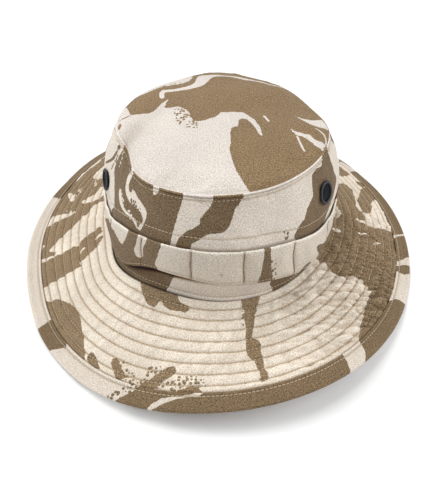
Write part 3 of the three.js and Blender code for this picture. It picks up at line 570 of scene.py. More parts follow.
def top_rise(deg, r, rim):
    """How far the top panel's cloth rises and dips."""
    a = np.radians(deg)
    x, y = r * np.cos(a), r * np.sin(a)
    up = 1.1 * noise(x / 30, y / 30, 71) + 0.5 * noise(x / 12, y / 12, 72) + 0.16 * noise(x / 5, y / 5, 73)
    front = 0.35 + 0.65 * hill(turn(deg, 240) / 80)
    up = up + front * 1.5 * (np.abs(around(deg, 3.6, 74, rim / 30)) - 0.28) * np.exp(-rim / 8) * smooth(rim, 0, 2.5)
    up = up + front * 1.3 * noise(x / 13, y / 9, 75) * np.exp(-((rim / 16) ** 2))
    for fx, fy, long, wide, heading, rise in TOP_FOLDS:
        up = up + rise * ellipse(x, y, fx, fy, long, wide, heading)
    return up * smooth(rim, 0, 3) - 0.55 * bell(rim, 1.6, 1.6) * front


def top_face(deg, q):
    """The top panel's outer face, rolled down into its seam past q = 1."""
    qq = np.clip(q, 0, 1)
    r, z = top(deg, qq)
    rim = np.maximum((1 - qq) * 80, 0)
    up = top_rise(deg, r, rim)
    phi = np.clip((q - 1) * 100, 0, None)  # past the edge, an angle in radians
    r = r - 0.75 * (1 - smooth(rim, 0, 4)) + 0.85 * np.sin(np.clip(phi, 0, 2.4))
    z = z + up - 0.85 * (1 - np.cos(np.clip(phi, 0, 2.4)))
    return spherical(deg, r, z)


# ---------------------------------------------------------------- materials
def linear(rgb):
    c = np.array(rgb, float) / 255
    return tuple(np.where(c <= 0.04045, c / 12.92, ((c + 0.055) / 1.055) ** 2.4)) + (1.0,)


class Nodes:
    """A short way to write a material's nodes."""

    def __init__(self, name):
        self.mat = bpy.data.materials.new(name)
        self.mat.use_nodes = True
        self.tree = self.mat.node_tree
        self.shader = self.tree.nodes["Principled BSDF"]

    def new(self, kind, settings=(), **inputs):
        n = self.tree.nodes.new(kind)
        for key, value in dict(settings).items():
            setattr(n, key, value)
        for key, value in inputs.items():
            self.put(n.inputs[int(key[1:])] if key[0] == "i" and key[1:].isdigit() else n.inputs[key], value)
        return n

    def put(self, socket, value):
        if isinstance(value, bpy.types.NodeSocket):
            self.tree.links.new(value, socket)
        else:
            socket.default_value = value

    def math(self, op, a, b=0.0, c=None):
        n = self.new("ShaderNodeMath", {"operation": op}, i0=a, i1=b)
        if c is not None:
            self.put(n.inputs[2], c)
        return n.outputs[0]

    def ramp(self, value, low, high, to_low=0.0, to_high=1.0, kind="SMOOTHSTEP"):
        n = self.new("ShaderNodeMapRange", {"interpolation_type": kind, "clamp": True})
        for key, v in (("Value", value), ("From Min", low), ("From Max", high), ("To Min", to_low), ("To Max", to_high)):
            self.put(n.inputs[key], v)
        return n.outputs[0]

    def mix(self, factor, a, b, how="MIX"):
        n = self.new("ShaderNodeMix", {"data_type": "RGBA", "blend_type": how}, i0=factor, i6=a, i7=b)
        return n.outputs[2]

    def noise(self, vector, scale, detail=2.0, rough=0.5, stretch=None):
        if stretch:
            vector = self.new("ShaderNodeMapping", Vector=vector, Scale=stretch).outputs[0]
        n = self.new("ShaderNodeTexNoise", {"noise_dimensions": "3D"}, Vector=vector, Scale=scale, Detail=detail, Roughness=rough)
        return n.outputs[0]


def cloth(name, pale, brown, lean=0.95, darker=0.0):
    """Printed cotton twill: the ground and the print, thread by thread unevenness, weave, and painted shade and
    highlight at folds, grooves, seams and edges.
    """
    n = Nodes(name)
    uv = n.new("ShaderNodeUVMap", {"uv_map": "cloth"}).outputs[0]  # in millimetres
    space = n.new("ShaderNodeTexCoord").outputs["Object"]  # in metres

    def value(key):
        return n.new("ShaderNodeAttribute", {"attribute_type": "GEOMETRY", "attribute_name": key}).outputs["Fac"]

    # edge of the print
    edge = n.noise(space, 900, 2, 0.6)
    field = n.math("ADD", value("brown"), n.math("MULTIPLY", n.math("SUBTRACT", edge, 0.5), 1.1))
    mask = n.ramp(field, -0.16, 0.16)
    # small dots
    cells = n.new("ShaderNodeTexVoronoi", {"feature": "F1"}, Vector=uv, Scale=0.42, Randomness=0.6).outputs["Distance"]
    specks = value("specks")
    dot = n.ramp(n.math("SUBTRACT", n.math("MULTIPLY", n.math("ABSOLUTE", specks), 0.47), cells), -0.03, 0.04)
    brown_dots = n.math("MULTIPLY", dot, n.math("GREATER_THAN", specks, 0.02))
    pale_dots = n.math("MULTIPLY", dot, n.math("LESS_THAN", specks, -0.02))
    mask = n.math("MAXIMUM", n.math("MULTIPLY", mask, n.math("SUBTRACT", 1.0, pale_dots)), brown_dots)
    # threads
    warp = n.noise(uv, 1.5, 2, 0.65, (1.0, 0.45, 1.0))
    weft = n.noise(uv, 1.5, 2, 0.65, (0.45, 1.0, 1.0))
    fine = n.math("ADD", n.math("MULTIPLY", n.math("ADD", warp, weft), 0.3), n.math("MULTIPLY", n.noise(space, 1500, 1), 0.4))
    slub = n.math("ADD", n.noise(uv, 1.6, 1, 0.5, (1.0, 0.7, 1.0)), n.noise(uv, 1.6, 1, 0.5, (0.7, 1.0, 1.0)))
    grain = n.math("ADD", n.math("MULTIPLY", fine, 0.5), n.math("MULTIPLY", slub, 0.25))
    broad = n.noise(space, 38, 3, 0.55)
    pale_tone = n.mix(n.ramp(grain, 0.42, 0.58, kind="LINEAR"), tuple(c * 0.71 for c in pale[:3]) + (1,), tuple(min(c * 1.25, 0.93) for c in pale[:3]) + (1,))
    brown_tone = n.mix(n.ramp(grain, 0.41, 0.59, kind="LINEAR"), tuple(c * 0.3 for c in brown[:3]) + (1,), tuple(c * 1.7 for c in brown[:3]) + (1,))
    colour = n.mix(mask, pale_tone, brown_tone)
    tone = n.ramp(broad, 0.3, 0.7, 0.94, 1.05, "LINEAR")
    # painted shade and highlight: an attribute that darkens the cloth in folds, grooves, seams and under edges, and
    # lightens it on ridges and folded edges
    painted_shade_and_highlight = value("painted_shade_and_highlight")
    keep = n.math("SUBTRACT", 1.0, n.math("MULTIPLY", mask, 0.25))  # the painted shade and highlight show less on the brown
    # tint is the broad random tone times the painted shade and highlight, a little warmer where shaded
    tint = [n.math("MULTIPLY", tone, n.math("MAXIMUM", n.math("SUBTRACT", 1.0, n.math("MULTIPLY", painted_shade_and_highlight, n.math("MULTIPLY", depth, keep))), 0.05)) for depth in (0.5, 0.58, 0.66)]
    colour = n.mix(1.0, colour, n.new("ShaderNodeCombineColor", Red=tint[0], Green=tint[1], Blue=tint[2]).outputs[0], "MULTIPLY")
    n.put(n.shader.inputs["Base Color"], colour)
    # twill weave
    leaned = n.new("ShaderNodeMapping", Vector=uv, Rotation=(0.0, 0.0, lean)).outputs[0]
    twill = n.new("ShaderNodeTexWave", {"wave_type": "BANDS", "bands_direction": "X"}, Vector=leaned, Scale=0.44, Distortion=1.2, Detail=2.0)
    height = n.math("ADD", n.math("MULTIPLY", twill.outputs["Fac"], 0.6), n.math("MULTIPLY", grain, 0.9))
    bump = n.new("ShaderNodeBump", Strength=0.55, Distance=0.00012, Height=height)
    n.put(n.shader.inputs["Normal"], bump.outputs[0])
    n.put(n.shader.inputs["Roughness"], n.ramp(grain, 0.3, 0.7, 0.86, 0.97, "LINEAR"))
    n.shader.inputs["Specular IOR Level"].default_value = 0.22
    n.shader.inputs["Sheen Weight"].default_value = 0.06
    n.shader.inputs["Sheen Roughness"].default_value = 0.5
    return n.mat


def thread(name, colour):
    n = Nodes(name)
    space = n.new("ShaderNodeTexCoord").outputs["Object"]
    ply = n.noise(space, 1800, 2)
    lay = n.noise(space, 120, 2)
    tone = n.mix(n.ramp(ply, 0.35, 0.65, kind="LINEAR"), tuple(c * 0.8 for c in colour[:3]) + (1,), tuple(c * 1.15 for c in colour[:3]) + (1,))
    tone = n.mix(n.ramp(lay, 0.35, 0.65, 0.0, 0.35, "LINEAR"), tone, tuple(c * 0.8 for c in colour[:3]) + (1,))
    n.put(n.shader.inputs["Base Color"], tone)
    n.put(n.shader.inputs["Normal"], n.new("ShaderNodeBump", Strength=0.4, Distance=0.00008, Height=ply).outputs[0])
    n.put(n.shader.inputs["Roughness"], n.ramp(ply, 0.3, 0.7, 0.7, 0.9, "LINEAR"))
    n.shader.inputs["Specular IOR Level"].default_value = 0.3
    return n.mat


def enamel(name, colour, worn, rough):
    n = Nodes(name)
    space = n.new("ShaderNodeTexCoord").outputs["Object"]
    chips = n.noise(space, 700, 3, 0.6)
    haze = n.noise(space, 160, 3, 0.6)
    tone = n.mix(n.ramp(haze, 0.35, 0.7, 0.0, 0.5, "LINEAR"), colour, tuple(c * 1.7 for c in colour[:3]) + (1,))
    tone = n.mix(n.ramp(chips, 0.64, 0.72), tone, worn)
    n.put(n.shader.inputs["Base Color"], tone)
    n.put(n.shader.inputs["Roughness"], n.ramp(haze, 0.3, 0.7, rough - 0.08, rough + 0.14, "LINEAR"))
    n.put(n.shader.inputs["Normal"], n.new("ShaderNodeBump", Strength=0.25, Distance=0.00005, Height=chips).outputs[0])
    n.shader.inputs["Specular IOR Level"].default_value = 0.35
    n.shader.inputs["Coat Weight"].default_value = 0.08
    n.shader.inputs["Coat Roughness"].default_value = 0.25
    return n.mat


# ---------------------------------------------------------------- meshes
def outward(points, quads, tris):
    """Turns a closed mesh's faces so that they look outwards."""
    volume = 0.0
    for faces in (np.asarray(quads)[:, :3], np.asarray(quads)[:, [0, 2, 3]], tris):
        if len(faces):
            a, b, c = (points[faces[:, k]] for k in range(3))
            volume += float(np.einsum("ij,ij->i", a, np.cross(b, c)).sum())
    return volume >= 0


def make(name, points, quads, tris=None, values=None, plan=None, corners=None, material=None, node=None):
    points = np.asarray(points, float).reshape(-1, 3)
    quads = np.asarray(quads, int).reshape(-1, 4)
    tris = np.zeros((0, 3), int) if tris is None else np.asarray(tris, int).reshape(-1, 3)
    uv = None if corners is None else corners.reshape(-1, 4, 2)
    if not outward(points, quads, tris):
        quads, tris = quads[:, ::-1], tris[:, ::-1]
        uv = None if uv is None else uv[:, ::-1]
    loops = np.concatenate([quads.ravel(), tris.ravel()])
    starts = np.concatenate([np.arange(len(quads)) * 4, len(quads) * 4 + np.arange(len(tris)) * 3])
    data = bpy.data.meshes.new(name)
    data.vertices.add(len(points))
    data.vertices.foreach_set("co", (points * MM).astype(np.float32).ravel())
    data.loops.add(len(loops))
    data.loops.foreach_set("vertex_index", loops.astype(np.int32))
    data.polygons.add(len(starts))
    data.polygons.foreach_set("loop_start", starts.astype(np.int32))
    data.update(calc_edges=True)
    data.polygons.foreach_set("use_smooth", np.ones(len(starts), bool))
    for key, v in (values or {}).items():
        data.attributes.new(key, "FLOAT", "POINT").data.foreach_set("value", np.asarray(v, np.float32).ravel())
    if uv is not None or plan is not None:
        layer = data.uv_layers.new(name="cloth")
        flat = plan[loops] if uv is None else np.concatenate([uv.reshape(-1, 2), np.zeros((len(tris) * 3, 2))])
        layer.data.foreach_set("uv", flat.astype(np.float32).ravel())
    data.materials.append(material)
    obj = bpy.data.objects.new(name, data)
    bpy.context.scene.collection.objects.link(obj)
    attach(obj, "root")
    if node:
        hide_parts(node)
    return obj


def ring_quads(n, m, closed=True):
    """Quads of a section of m points carried n times round; also each corner's column and row before wrapping."""
    i, j = np.meshgrid(np.arange(n), np.arange(m if closed else m - 1), indexing="ij")
    i, j = i.ravel(), j.ravel()
    col, row = np.stack([i, i + 1, i + 1, i], 1), np.stack([j, j, j + 1, j + 1], 1)
    return (col % n) * m + row % m, col, row % m


def sewn_row(face, deg, al, pitch=2.75, length=2.05, width=0.44, lift=0.06, closed=True):
    """Stitches along a path on a face: their points and faces."""
    path = face(deg, al)
    step = np.linalg.norm(np.diff(path, axis=0), axis=1)
    run = np.concatenate([[0], np.cumsum(step)])
    count = max(2, int(round(run[-1] / pitch)))
    at_run = (np.arange(count) + (0.0 if closed else 0.5)) * run[-1] / count
    d, a = np.interp(at_run, run, deg), np.interp(at_run, run, al)
    centre = face(d, a)
    if face is side_face:
        clear = np.ones(len(d), bool)
        for _, vd, val in VENTS:
            clear &= np.linalg.norm(centre - spherical(np.array([vd]), *side(np.array([vd]), np.array([val]))), axis=1) > 9.4
        d, a, at_run, centre = d[clear], a[clear], at_run[clear], centre[clear]
        count = len(d)
    ahead = face(np.interp(at_run + 0.6, run, deg), np.interp(at_run + 0.6, run, al))
    behind = face(np.interp(at_run - 0.6, run, deg), np.interp(at_run - 0.6, run, al))
    along = ahead - behind
    long = np.linalg.norm(along, axis=1, keepdims=True)
    along = along / np.maximum(long, 1e-6)
    e1, e2 = face(d + 0.3, a) - face(d - 0.3, a), face(d, a + 0.003 * (100 if face is not top_face else 1)) - centre
    normal = np.cross(e1, e2)
    normal /= np.linalg.norm(normal, axis=1, keepdims=True)
    # outwards is up, or away from the middle of the hat
    away = np.where(np.abs(normal[:, 2]) > 0.55, normal[:, 2] * face_up(face), (normal[:, :2] * centre[:, :2]).sum(1))
    normal *= np.where(away < 0, -1, 1)[:, None]
    across = np.cross(normal, along)
    rng = np.random.RandomState(len(at_run) * 7 + 3)
    half = length / 2 * (1 + 0.08 * rng.randn(count))[:, None]
    slant = along + across * (0.06 * rng.randn(count))[:, None]
    ring = np.arange(5) * 2 * np.pi / 5
    verts = []
    for t, size, drop in ((-1.0, 0.35, -0.26), (-0.72, 1.0, 0.0), (0.72, 1.0, 0.0), (1.0, 0.35, -0.26)):
        mid = centre + slant * half * t + normal * (lift + drop)
        for c in ring:
            verts.append(mid + (across * math.cos(c) * width / 2 + normal * math.sin(c) * width * 0.42) * size)
    verts = np.stack(verts, 1)  # count, 20, 3
    base = np.arange(count)[:, None, None] * 20
    quad = np.array([[k * 5 + c, k * 5 + (c + 1) % 5, (k + 1) * 5 + (c + 1) % 5, (k + 1) * 5 + c] for k in range(3) for c in range(5)])
    cap = np.array([[0, 2, 1], [0, 3, 2], [0, 4, 3], [15, 16, 17], [15, 17, 18], [15, 18, 19]])
    return verts.reshape(-1, 3), (base + quad).reshape(-1, 4), (base + cap).reshape(-1, 3)


UNDER = set()


def face_up(face):
    return -1.0 if face in UNDER else 1.0


def stitches(name, rows, material):
    points, quads, tris, n = [], [], [], 0
    for p, q, t in rows:
        points.append(p)
        quads.append(q + n)
        tris.append(t + n)
        n += len(p)
    return make(name, np.concatenate(points), np.concatenate(quads), np.concatenate(tris), material=material)


fine_deg = np.linspace(0, 360, 1441)

brim_cloth = cloth("brim_cloth", linear((222, 209, 192)), linear((136, 115, 88)))
bind_cloth = cloth("binding_cloth", linear((212, 200, 186)), linear((119, 99, 74)), lean=0.2)
side_cloth = cloth("side_cloth", linear((211, 200, 187)), linear((111, 92, 69)))
band_cloth = cloth("band_cloth", linear((204, 193, 179)), linear((114, 95, 73)), lean=0.3)
top_cloth = cloth("top_cloth", linear((216, 207, 198)), linear((135, 112, 83)))
pale_thread = thread("tan_thread", linear((196, 178, 152)))
row_thread = thread("row_thread", linear((196, 176, 147)))
tack_thread = thread("tack_thread", linear((134, 110, 82)))
vent_enamel = enamel("vent_enamel", linear((9, 11, 17)), linear((50, 52, 58)), 0.5)
vent_wire = enamel("vent_wire", linear((18, 21, 29)), linear((70, 72, 78)), 0.55)

# ---- the brim
N = 840
deg = np.arange(N) * 360.0 / N
rows_al = [-0.25, 0.15, 0.6, 1.2, 2.0, 3.2]
for row in ROWS:
    rows_al += [row - 1.9, row - 1.05, row - 0.5, row, row + 0.5, row + 1.05, row + 1.9, row + 3.1, row + 4.3]
top_al = np.array([a for a in rows_al if a < 62] + [62.4, 63.6, 66.5, 70.0])
top_al = np.unique(np.round(top_al, 3))
under_al = np.concatenate([np.array([row + k for row in [-1.7] + ROWS for k in (-1.3, 0.0, 1.3, 3.4)])])
under_al = np.array(sorted([a for a in under_al if 0.4 < a < 62.0] + [0.4, 62.6, 66.5, 70.0]))[::-1]
D, A = np.meshgrid(deg, top_al, indexing="ij")
upper = brim_face(D, A, 1)
DU, AU = np.meshgrid(deg, under_al, indexing="ij")
lower = brim_face(DU, AU, -1)
# inside the binding both faces close in
m_top, m_all = len(top_al), len(top_al) + len(under_al)
points = np.concatenate([upper, lower], 1)
ang = np.radians(np.concatenate([D, DU], 1))
al_all = np.concatenate([A, AU], 1)
x, y = (PLAN_R + al_all) * np.cos(ang), (PLAN_R + al_all) * np.sin(ang)
brown = np.full(x.shape, -12.0)
specks = np.zeros(x.shape)
brown[:, :m_top], specks[:, :m_top] = pattern(x[:, :m_top], y[:, :m_top], BRIM_PATCHES, BRIM_SPECKLES, 101)
# the underside is cut from another part of the same printed cloth
ux, uy = -x[:, m_top:] * math.cos(0.7) - y[:, m_top:] * math.sin(0.7), x[:, m_top:] * math.sin(0.7) - y[:, m_top:] * math.cos(0.7)
brown[:, m_top:], specks[:, m_top:] = pattern(ux, -uy, BRIM_PATCHES, BRIM_SPECKLES, 103)
pillow, near_row = row_shape(al_all, QUILT_ROWS, 0.46)
dips = brim_pucker(np.concatenate([D, DU], 1), al_all)
# painted shade in the rows' grooves, along the binding's inner edge, in the puckers' dips and at the bottoms of folds;
# painted highlight on the pillows and the puckers' crests
painted_shade_and_highlight = 1.1 * near_row + 0.85 * smooth(al_all, 61.4, 62.4) - 0.06 * pillow
painted_shade_and_highlight = painted_shade_and_highlight + np.clip(-0.2 * dips, -0.17, 0.26) + 0.5 * folded(np.concatenate([D, DU], 1), al_all)
quads, _, _ = ring_quads(N, m_all)
make("brim_quilted", points, quads, values={"brown": brown, "specks": specks, "painted_shade_and_highlight": painted_shade_and_highlight},
     plan=np.stack([x, y], -1).reshape(-1, 2), material=brim_cloth, node="brim")


def brim_under(d, a):
    return brim_face(d, a, -1)


UNDER.add(brim_under)
stitches("brim_rows_top", [sewn_row(brim_face, fine_deg, np.full(1441, row), length=2.2, width=0.78, lift=0.16) for row in ROWS], row_thread)
stitches("brim_rows_under", [sewn_row(brim_under, fine_deg, np.full(1441, row), length=2.0, width=0.4, lift=0.05) for row in ROWS], row_thread)

# ---- the binding, folded over the rim
N = 900
deg = np.arange(N) * 360.0 / N
section = [(62.75, 0.66), (62.45, 0.8), (62.3, 1.08), (62.42, 1.34), (62.8, 1.52), (63.5, 1.58), (64.1, 1.55), (64.45, 1.52), (64.8, 1.5), (65.15, 1.52),
           (65.6, 1.56), (66.4, 1.62), (67.6, 1.66), (69.0, 1.7), (70.4, 1.72), (71.6, 1.72), (72.6, 1.7), (73.4, 1.62), (74.1, 1.42), (74.65, 1.08), (75.0, 0.6),
           (75.15, 0.0), (75.05, -0.6), (74.7, -1.15), (74.1, -1.55), (73.3, -1.78), (72.0, -1.84), (70.0, -1.84), (67.6, -1.82), (65.9, -1.78), (65.2, -1.76),
           (64.8, -1.76), (64.4, -1.76), (63.7, -1.76), (62.9, -1.66), (62.45, -1.4), (62.4, -1.1), (62.75, -0.75),
           (66.0, -0.78), (71.5, -0.8), (71.5, 0.8), (66.0, 0.78)]
sec_al, sec_h = np.array([s[0] for s in section]), np.array([s[1] for s in section])
D, A = np.meshgrid(deg, sec_al, indexing="ij")
H = np.broadcast_to(sec_h, D.shape)
points = bind_face(D, A, H)
ang = np.radians(D)
x, y = (PLAN_R + A) * np.cos(ang), (PLAN_R + A) * np.sin(ang)
brown, specks = pattern(x, y, BIND_PATCHES, BIND_SPECKLES, 105)
under = H < -0.3
ub, us = pattern(-y, x, BIND_PATCHES, BIND_SPECKLES, 107)
blend_in = smooth(H, -0.6, -0.2)
brown = np.where(under, ub, brown)
# painted shade at its row of stitching and inside the fold at its inner edge; painted highlight on its inner edge and
# round the rim
painted_shade_and_highlight = 0.5 * bell(A, BIND_IN + 2.5, 0.7) * (np.abs(H) > 1) + 0.75 * (np.abs(H) < 0.9) * (A < 64) - 0.22 * bell(A, 62.9, 0.5) * (H > 1.3) - 0.1 * bell(A, 74.3, 0.9)
quads, col, row = ring_quads(N, len(section))
corners = np.stack([col * (2 * np.pi * 165 / N), np.cumsum(np.r_[0, np.hypot(np.diff(sec_al), np.diff(sec_h))])[row]], -1)
make("brim_edge_binding", points, quads, values={"brown": brown, "specks": np.where(under, 0, specks), "painted_shade_and_highlight": painted_shade_and_highlight}, corners=corners,
     material=bind_cloth, node="brim_binding")


def bind_top(d, a):
    return bind_face(d, a, 1.5 + 0 * a)


def bind_under(d, a):
    return bind_face(d, a, -1.76 + 0 * a)


UNDER.add(bind_under)
stitches("binding_rows", [sewn_row(bind_top, fine_deg, np.full(1441, BIND_IN + 2.5), length=2.25, width=0.76, lift=0.1),
                          sewn_row(bind_under, fine_deg, np.full(1441, BIND_IN + 2.5), length=2.0, width=0.42, lift=0.04)], pale_thread)

# ---- the crown side, with a hole for each vent
N = 720
deg = np.arange(N) * 360.0 / N
lows, highs = at("bandLow", deg), at("bandHigh", deg)


def side_levels(low, high):
    """Heights up the crown side, closer together at its seams and rows of stitching."""
    row = high + CROWN_ROW
    foot = [-1.7, -0.5, 0.3, 0.9, 1.5, 2.0, 2.4, 3.0]
    under = [np.maximum(low - d, 3.2 + 0.12 * k) for k, d in enumerate((7.6, 6.5, 5.5, 4.5, 3.5, 2.5, 1.6, 0.8, 0.0))]
    behind = [low + (high - low) * k for k in (0.25, 0.55, 0.85)]
    above = [high + 0.4, high + 2.2, high + 4.0, row - 2.2, row - 1.2, row - 0.55, row, row + 0.55, row + 1.3]
    wall = [row + 1.3 + (71.4 - row - 1.3) * k for k in np.arange(1, 19) / 18]
    seam = [72.4, 73.3, 73.9, 74.25, 74.5, 74.8, 75.2, 75.6, 75.95, 76.3]
    return foot + under + behind + above + wall + seam


levels = side_levels(lows, highs)
A = np.stack([np.broadcast_to(v, deg.shape) for v in levels], 1).astype(float)
A = np.maximum.accumulate(A, axis=1)
A += np.arange(A.shape[1]) * 1e-4
m = A.shape[1]
D = np.broadcast_to(deg[:, None], A.shape)
outer = side_face(D, A)
# the inner face follows the outer one
r, z = pushed(side, D, np.clip(A, 0, 76.3), np.where(side_out(D, np.maximum(A, 0)) < 0, 1.0, 0.5) * side_out(D, np.maximum(A, 0)) - WALL_T - 0.2)
inner = spherical(D, r, z + np.minimum(A, 0))
brown, specks = pattern(D, A, SIDE_PATCHES, SIDE_SPECKLES, 111, True)
row_line = at("bandHigh", D) + CROWN_ROW
tuck = hill(turn(D, 236) / 46)
# painted shade in the rows' grooves, under the loop band (deepest at the front left and at the right front), in the gap
# above the band, at the foot and at the top seam; painted highlight on the seam ridge and on the welt at the brim seam
painted_shade_and_highlight = (0.5 * bell(A, TOP_ROW, 0.6) + 0.42 * bell(A, row_line, 0.6) + 0.35 * bell(A, 2.2, 0.6) - 0.15 * bell(A, 75.2, 0.4) + 0.4 * smooth(A, 75.7, 76.2)
          + 2.7 * tuck * smooth(at("bandLow", D), 8.5, 12) * bell(A, at("bandLow", D) - 0.8 - 5.2 * tuck, 1.0 + 0.9 * tuck) + 0.9 * hill(turn(D, 302) / 26) * bell(A, at("bandLow", D) - 1.2, 1.3) + 0.3 * bell(A, at("bandLow", D) - 0.2, 1.1) - 0.3 * bell(A, 0.9, 0.6) + 0.12 * (1 - smooth(A, 0.0, 0.8)) + 0.6 * bell(A, at("bandHigh", D) + 0.1, 1.3))
edge_out = outer[:, -1] * np.array([0.992, 0.992, 1.0]) + np.array([0, 0, -0.15])
grid = np.concatenate([outer, inner[:, ::-1]], 1)
all_brown = np.concatenate([brown, np.full_like(brown, -12.0)], 1)
ib, _ = pattern(D + 143, A, SIDE_PATCHES, SIDE_SPECKLES, 113, True)
all_brown[:, m:] = ib[:, ::-1]
all_specks = np.concatenate([specks, np.zeros_like(specks)], 1)
# the inside of the crown is painted slightly darker, a painted shade
all_painted_shade_and_highlight = np.concatenate([painted_shade_and_highlight, np.full_like(painted_shade_and_highlight, 0.1)], 1)
keep_points = grid.reshape(-1, 3).copy()
quads, col, row = ring_quads(N, 2 * m)
arc = np.concatenate([A, A[:, ::-1]], 1)


def vent_place(vd, val):
    e = 0.07 * WALL_LENGTH

    def p(d, a):
        return place(np.array(d, float), *side(np.array(d, float), np.array(a, float)))

    up = p(vd, val + e) - p(vd, val - e)
    up /= np.linalg.norm(up)
    rnd = p(vd + 4, val) - p(vd - 4, val)
    rnd /= np.linalg.norm(rnd)
    out = np.cross(rnd, up)
    out /= np.linalg.norm(out)
    xx = np.cross(up, out)
    return p(vd, val), xx / np.linalg.norm(xx), up, out


VENT_HOLE_R = 7.1
drop_outer = np.zeros((N, m - 1), bool)
for _, vd, val in VENTS:
    origin, vx, vy, vz = vent_place(vd, val)
    mids = 0.25 * (outer[:, :-1] + outer[:, 1:] + np.roll(outer, -1, 0)[:, :-1] + np.roll(outer, -1, 0)[:, 1:])
    q = mids - origin
    drop_outer |= (np.hypot(q @ vx, q @ vy) < VENT_HOLE_R - 0.2) & (np.abs(q @ vz) < 12)
strip = row[:, 0]
first = col[:, 0]
is_outer = strip < m - 1
is_inner = (strip >= m) & (strip < 2 * m - 1)
dropped = np.zeros(len(quads), bool)
dropped[is_outer] = drop_outer[first[is_outer], strip[is_outer]]
dropped[is_inner] = drop_outer[first[is_inner], 2 * m - 2 - strip[is_inner]]
# the hole's wall joins the two faces along the edges of the dropped quads
wall = []
for i, j in np.argwhere(drop_outer):
    i2 = (i + 1) % N
    for (di, dj), (p0, p1) in (((-1, 0), ((i, j), (i, j + 1))), ((1, 0), ((i2, j + 1), (i2, j))), ((0, -1), ((i2, j), (i, j))), ((0, 1), ((i, j + 1), (i2, j + 1)))):
        ni, nj = (i + di) % N, j + dj
        if not (0 <= nj < m - 1) or not drop_outer[ni, nj]:
            (a, b), (c, d2) = p0, p1
            wall.append([a * 2 * m + b, c * 2 * m + d2, c * 2 * m + (2 * m - 1 - d2), a * 2 * m + (2 * m - 1 - b)])
# the edges of each hole are drawn onto a circle
rim_points = np.unique(np.array(wall)[:, :])
for index in rim_points:
    p = keep_points[index]
    for _, vd, val in VENTS:
        origin, vx, vy, vz = vent_place(vd, val)
        q = p - origin
        u, v, w = q @ vx, q @ vy, q @ vz
        rr = math.hypot(u, v)
        if rr < 11 and abs(w) < 12:
            keep_points[index] = origin + vx * u / rr * VENT_HOLE_R + vy * v / rr * VENT_HOLE_R + vz * w
kept = ~dropped
wall = np.array(wall)
all_quads = np.concatenate([quads[kept], wall])
mm_round = 2 * np.pi * 92 / N
side_uv = np.stack([col * mm_round, arc[0][row]], -1)
side_uv = np.stack([col * mm_round, arc[col % N, row]], -1)
wall_uv = np.stack([(wall // (2 * m)) * mm_round, arc[wall // (2 * m), wall % (2 * m)]], -1)
make("crown_side_cloth", keep_points, all_quads, values={"brown": all_brown, "specks": all_specks, "painted_shade_and_highlight": all_painted_shade_and_highlight},
     corners=np.concatenate([side_uv[kept], wall_uv]), material=side_cloth, node="crown_side")
clear_of_vents = []
stitches("crown_rows", [sewn_row(side_face, fine_deg, np.full(1441, TOP_ROW), length=2.1, width=0.6, lift=0.07),
                        sewn_row(side_face, fine_deg, at("bandHigh", fine_deg) + CROWN_ROW, length=2.2, width=0.62, lift=0.07),
                        sewn_row(side_face, fine_deg, np.full(1441, 2.2), length=2.1, width=0.6, lift=0.07)], pale_thread)

# ---- the crown top
N = 720
deg = np.arange(N) * 360.0 / N
qs = np.concatenate([np.linspace(0.03, 0.9, 54), np.linspace(0.912, 1.0, 16), 1 + np.array([0.2, 0.5, 0.9, 1.3, 1.7, 2.1, 2.4]) / 100])
D, Q = np.meshgrid(deg, qs, indexing="ij")
outer = top_face(D, Q)
qi = np.array([0.975, 0.95, 0.925, 0.9, 0.87, 0.84, 0.8, 0.76, 0.72, 0.68, 0.64, 0.6, 0.55, 0.5, 0.45, 0.4, 0.33, 0.25, 0.16, 0.06])
DI, QI = np.meshgrid(deg, qi, indexing="ij")
under_r, under_z = top(DI, QI)
inner = spherical(DI, under_r, under_z - TOP_T - 0.15 + np.minimum(top_rise(DI, under_r, (1 - QI) * 80), 0.6))
grid = np.concatenate([outer, inner], 1)
m = grid.shape[1]
plan_r = at("seamR", np.concatenate([D, DI], 1)) * np.minimum(np.concatenate([Q, QI], 1), 1.0) + np.maximum(np.concatenate([Q, QI], 1) - 1, 0) * 60
ang = np.radians(np.concatenate([D, DI], 1))
x, y = plan_r * np.cos(ang), plan_r * np.sin(ang)
brown, specks = pattern(x, y, TOP_PATCHES, TOP_SPECKLES, 121)
k = len(qs)
# the ridge of the seam is the side panel's turned edge, so it takes the side's print
ridge = np.nonzero(qs > 1.001)[0]
brown[:, ridge] = pattern(D[:, ridge], 75.3 + 0 * D[:, ridge], SIDE_PATCHES, [], 111, True)[0]
brown[:, k:], specks[:, k:] = pattern(-x[:, k:], -y[:, k:], TOP_PATCHES, TOP_SPECKLES, 123)
rim = (1 - np.concatenate([Q, QI], 1)) * 80
# painted shade in the seam's groove and on its roll-down, and in the soft dents at the front left; painted highlight on
# the seam ridge
painted_shade_and_highlight = 0.15 * bell(rim, 1.6, 1.3) + 0.45 * smooth(-rim, 0.6, 1.7) - 0.34 * bell(rim, -0.4, 0.55)
painted_shade_and_highlight = painted_shade_and_highlight + 0.38 * ellipse(x, y, -61, -15, 20, 7.5, 62) + 0.2 * ellipse(x, y, -32, -68, 9, 5, 25)
# the inside of the top is painted slightly darker, a painted shade
painted_shade_and_highlight[:, k:] = 0.1
quads, _, _ = ring_quads(N, m, closed=False)
centre_top = np.array([[-CENTRE[0], -CENTRE[1], top_face(np.array([0.0]), np.array([0.0]))[0, 2]]])
centre_in = np.array([[-CENTRE[0], -CENTRE[1], float(np.mean(inner[:, -1, 2]))]])
points = np.concatenate([grid.reshape(-1, 3), centre_top, centre_in])
i = np.arange(N)
fan = np.stack([np.full(N, N * m), i * m, ((i + 1) % N) * m], 1)
fan_in = np.stack([np.full(N, N * m + 1), ((i + 1) % N) * m + m - 1, i * m + m - 1], 1)


def with_centre(v, a, b):
    return np.concatenate([v.reshape(-1), [a, b]])


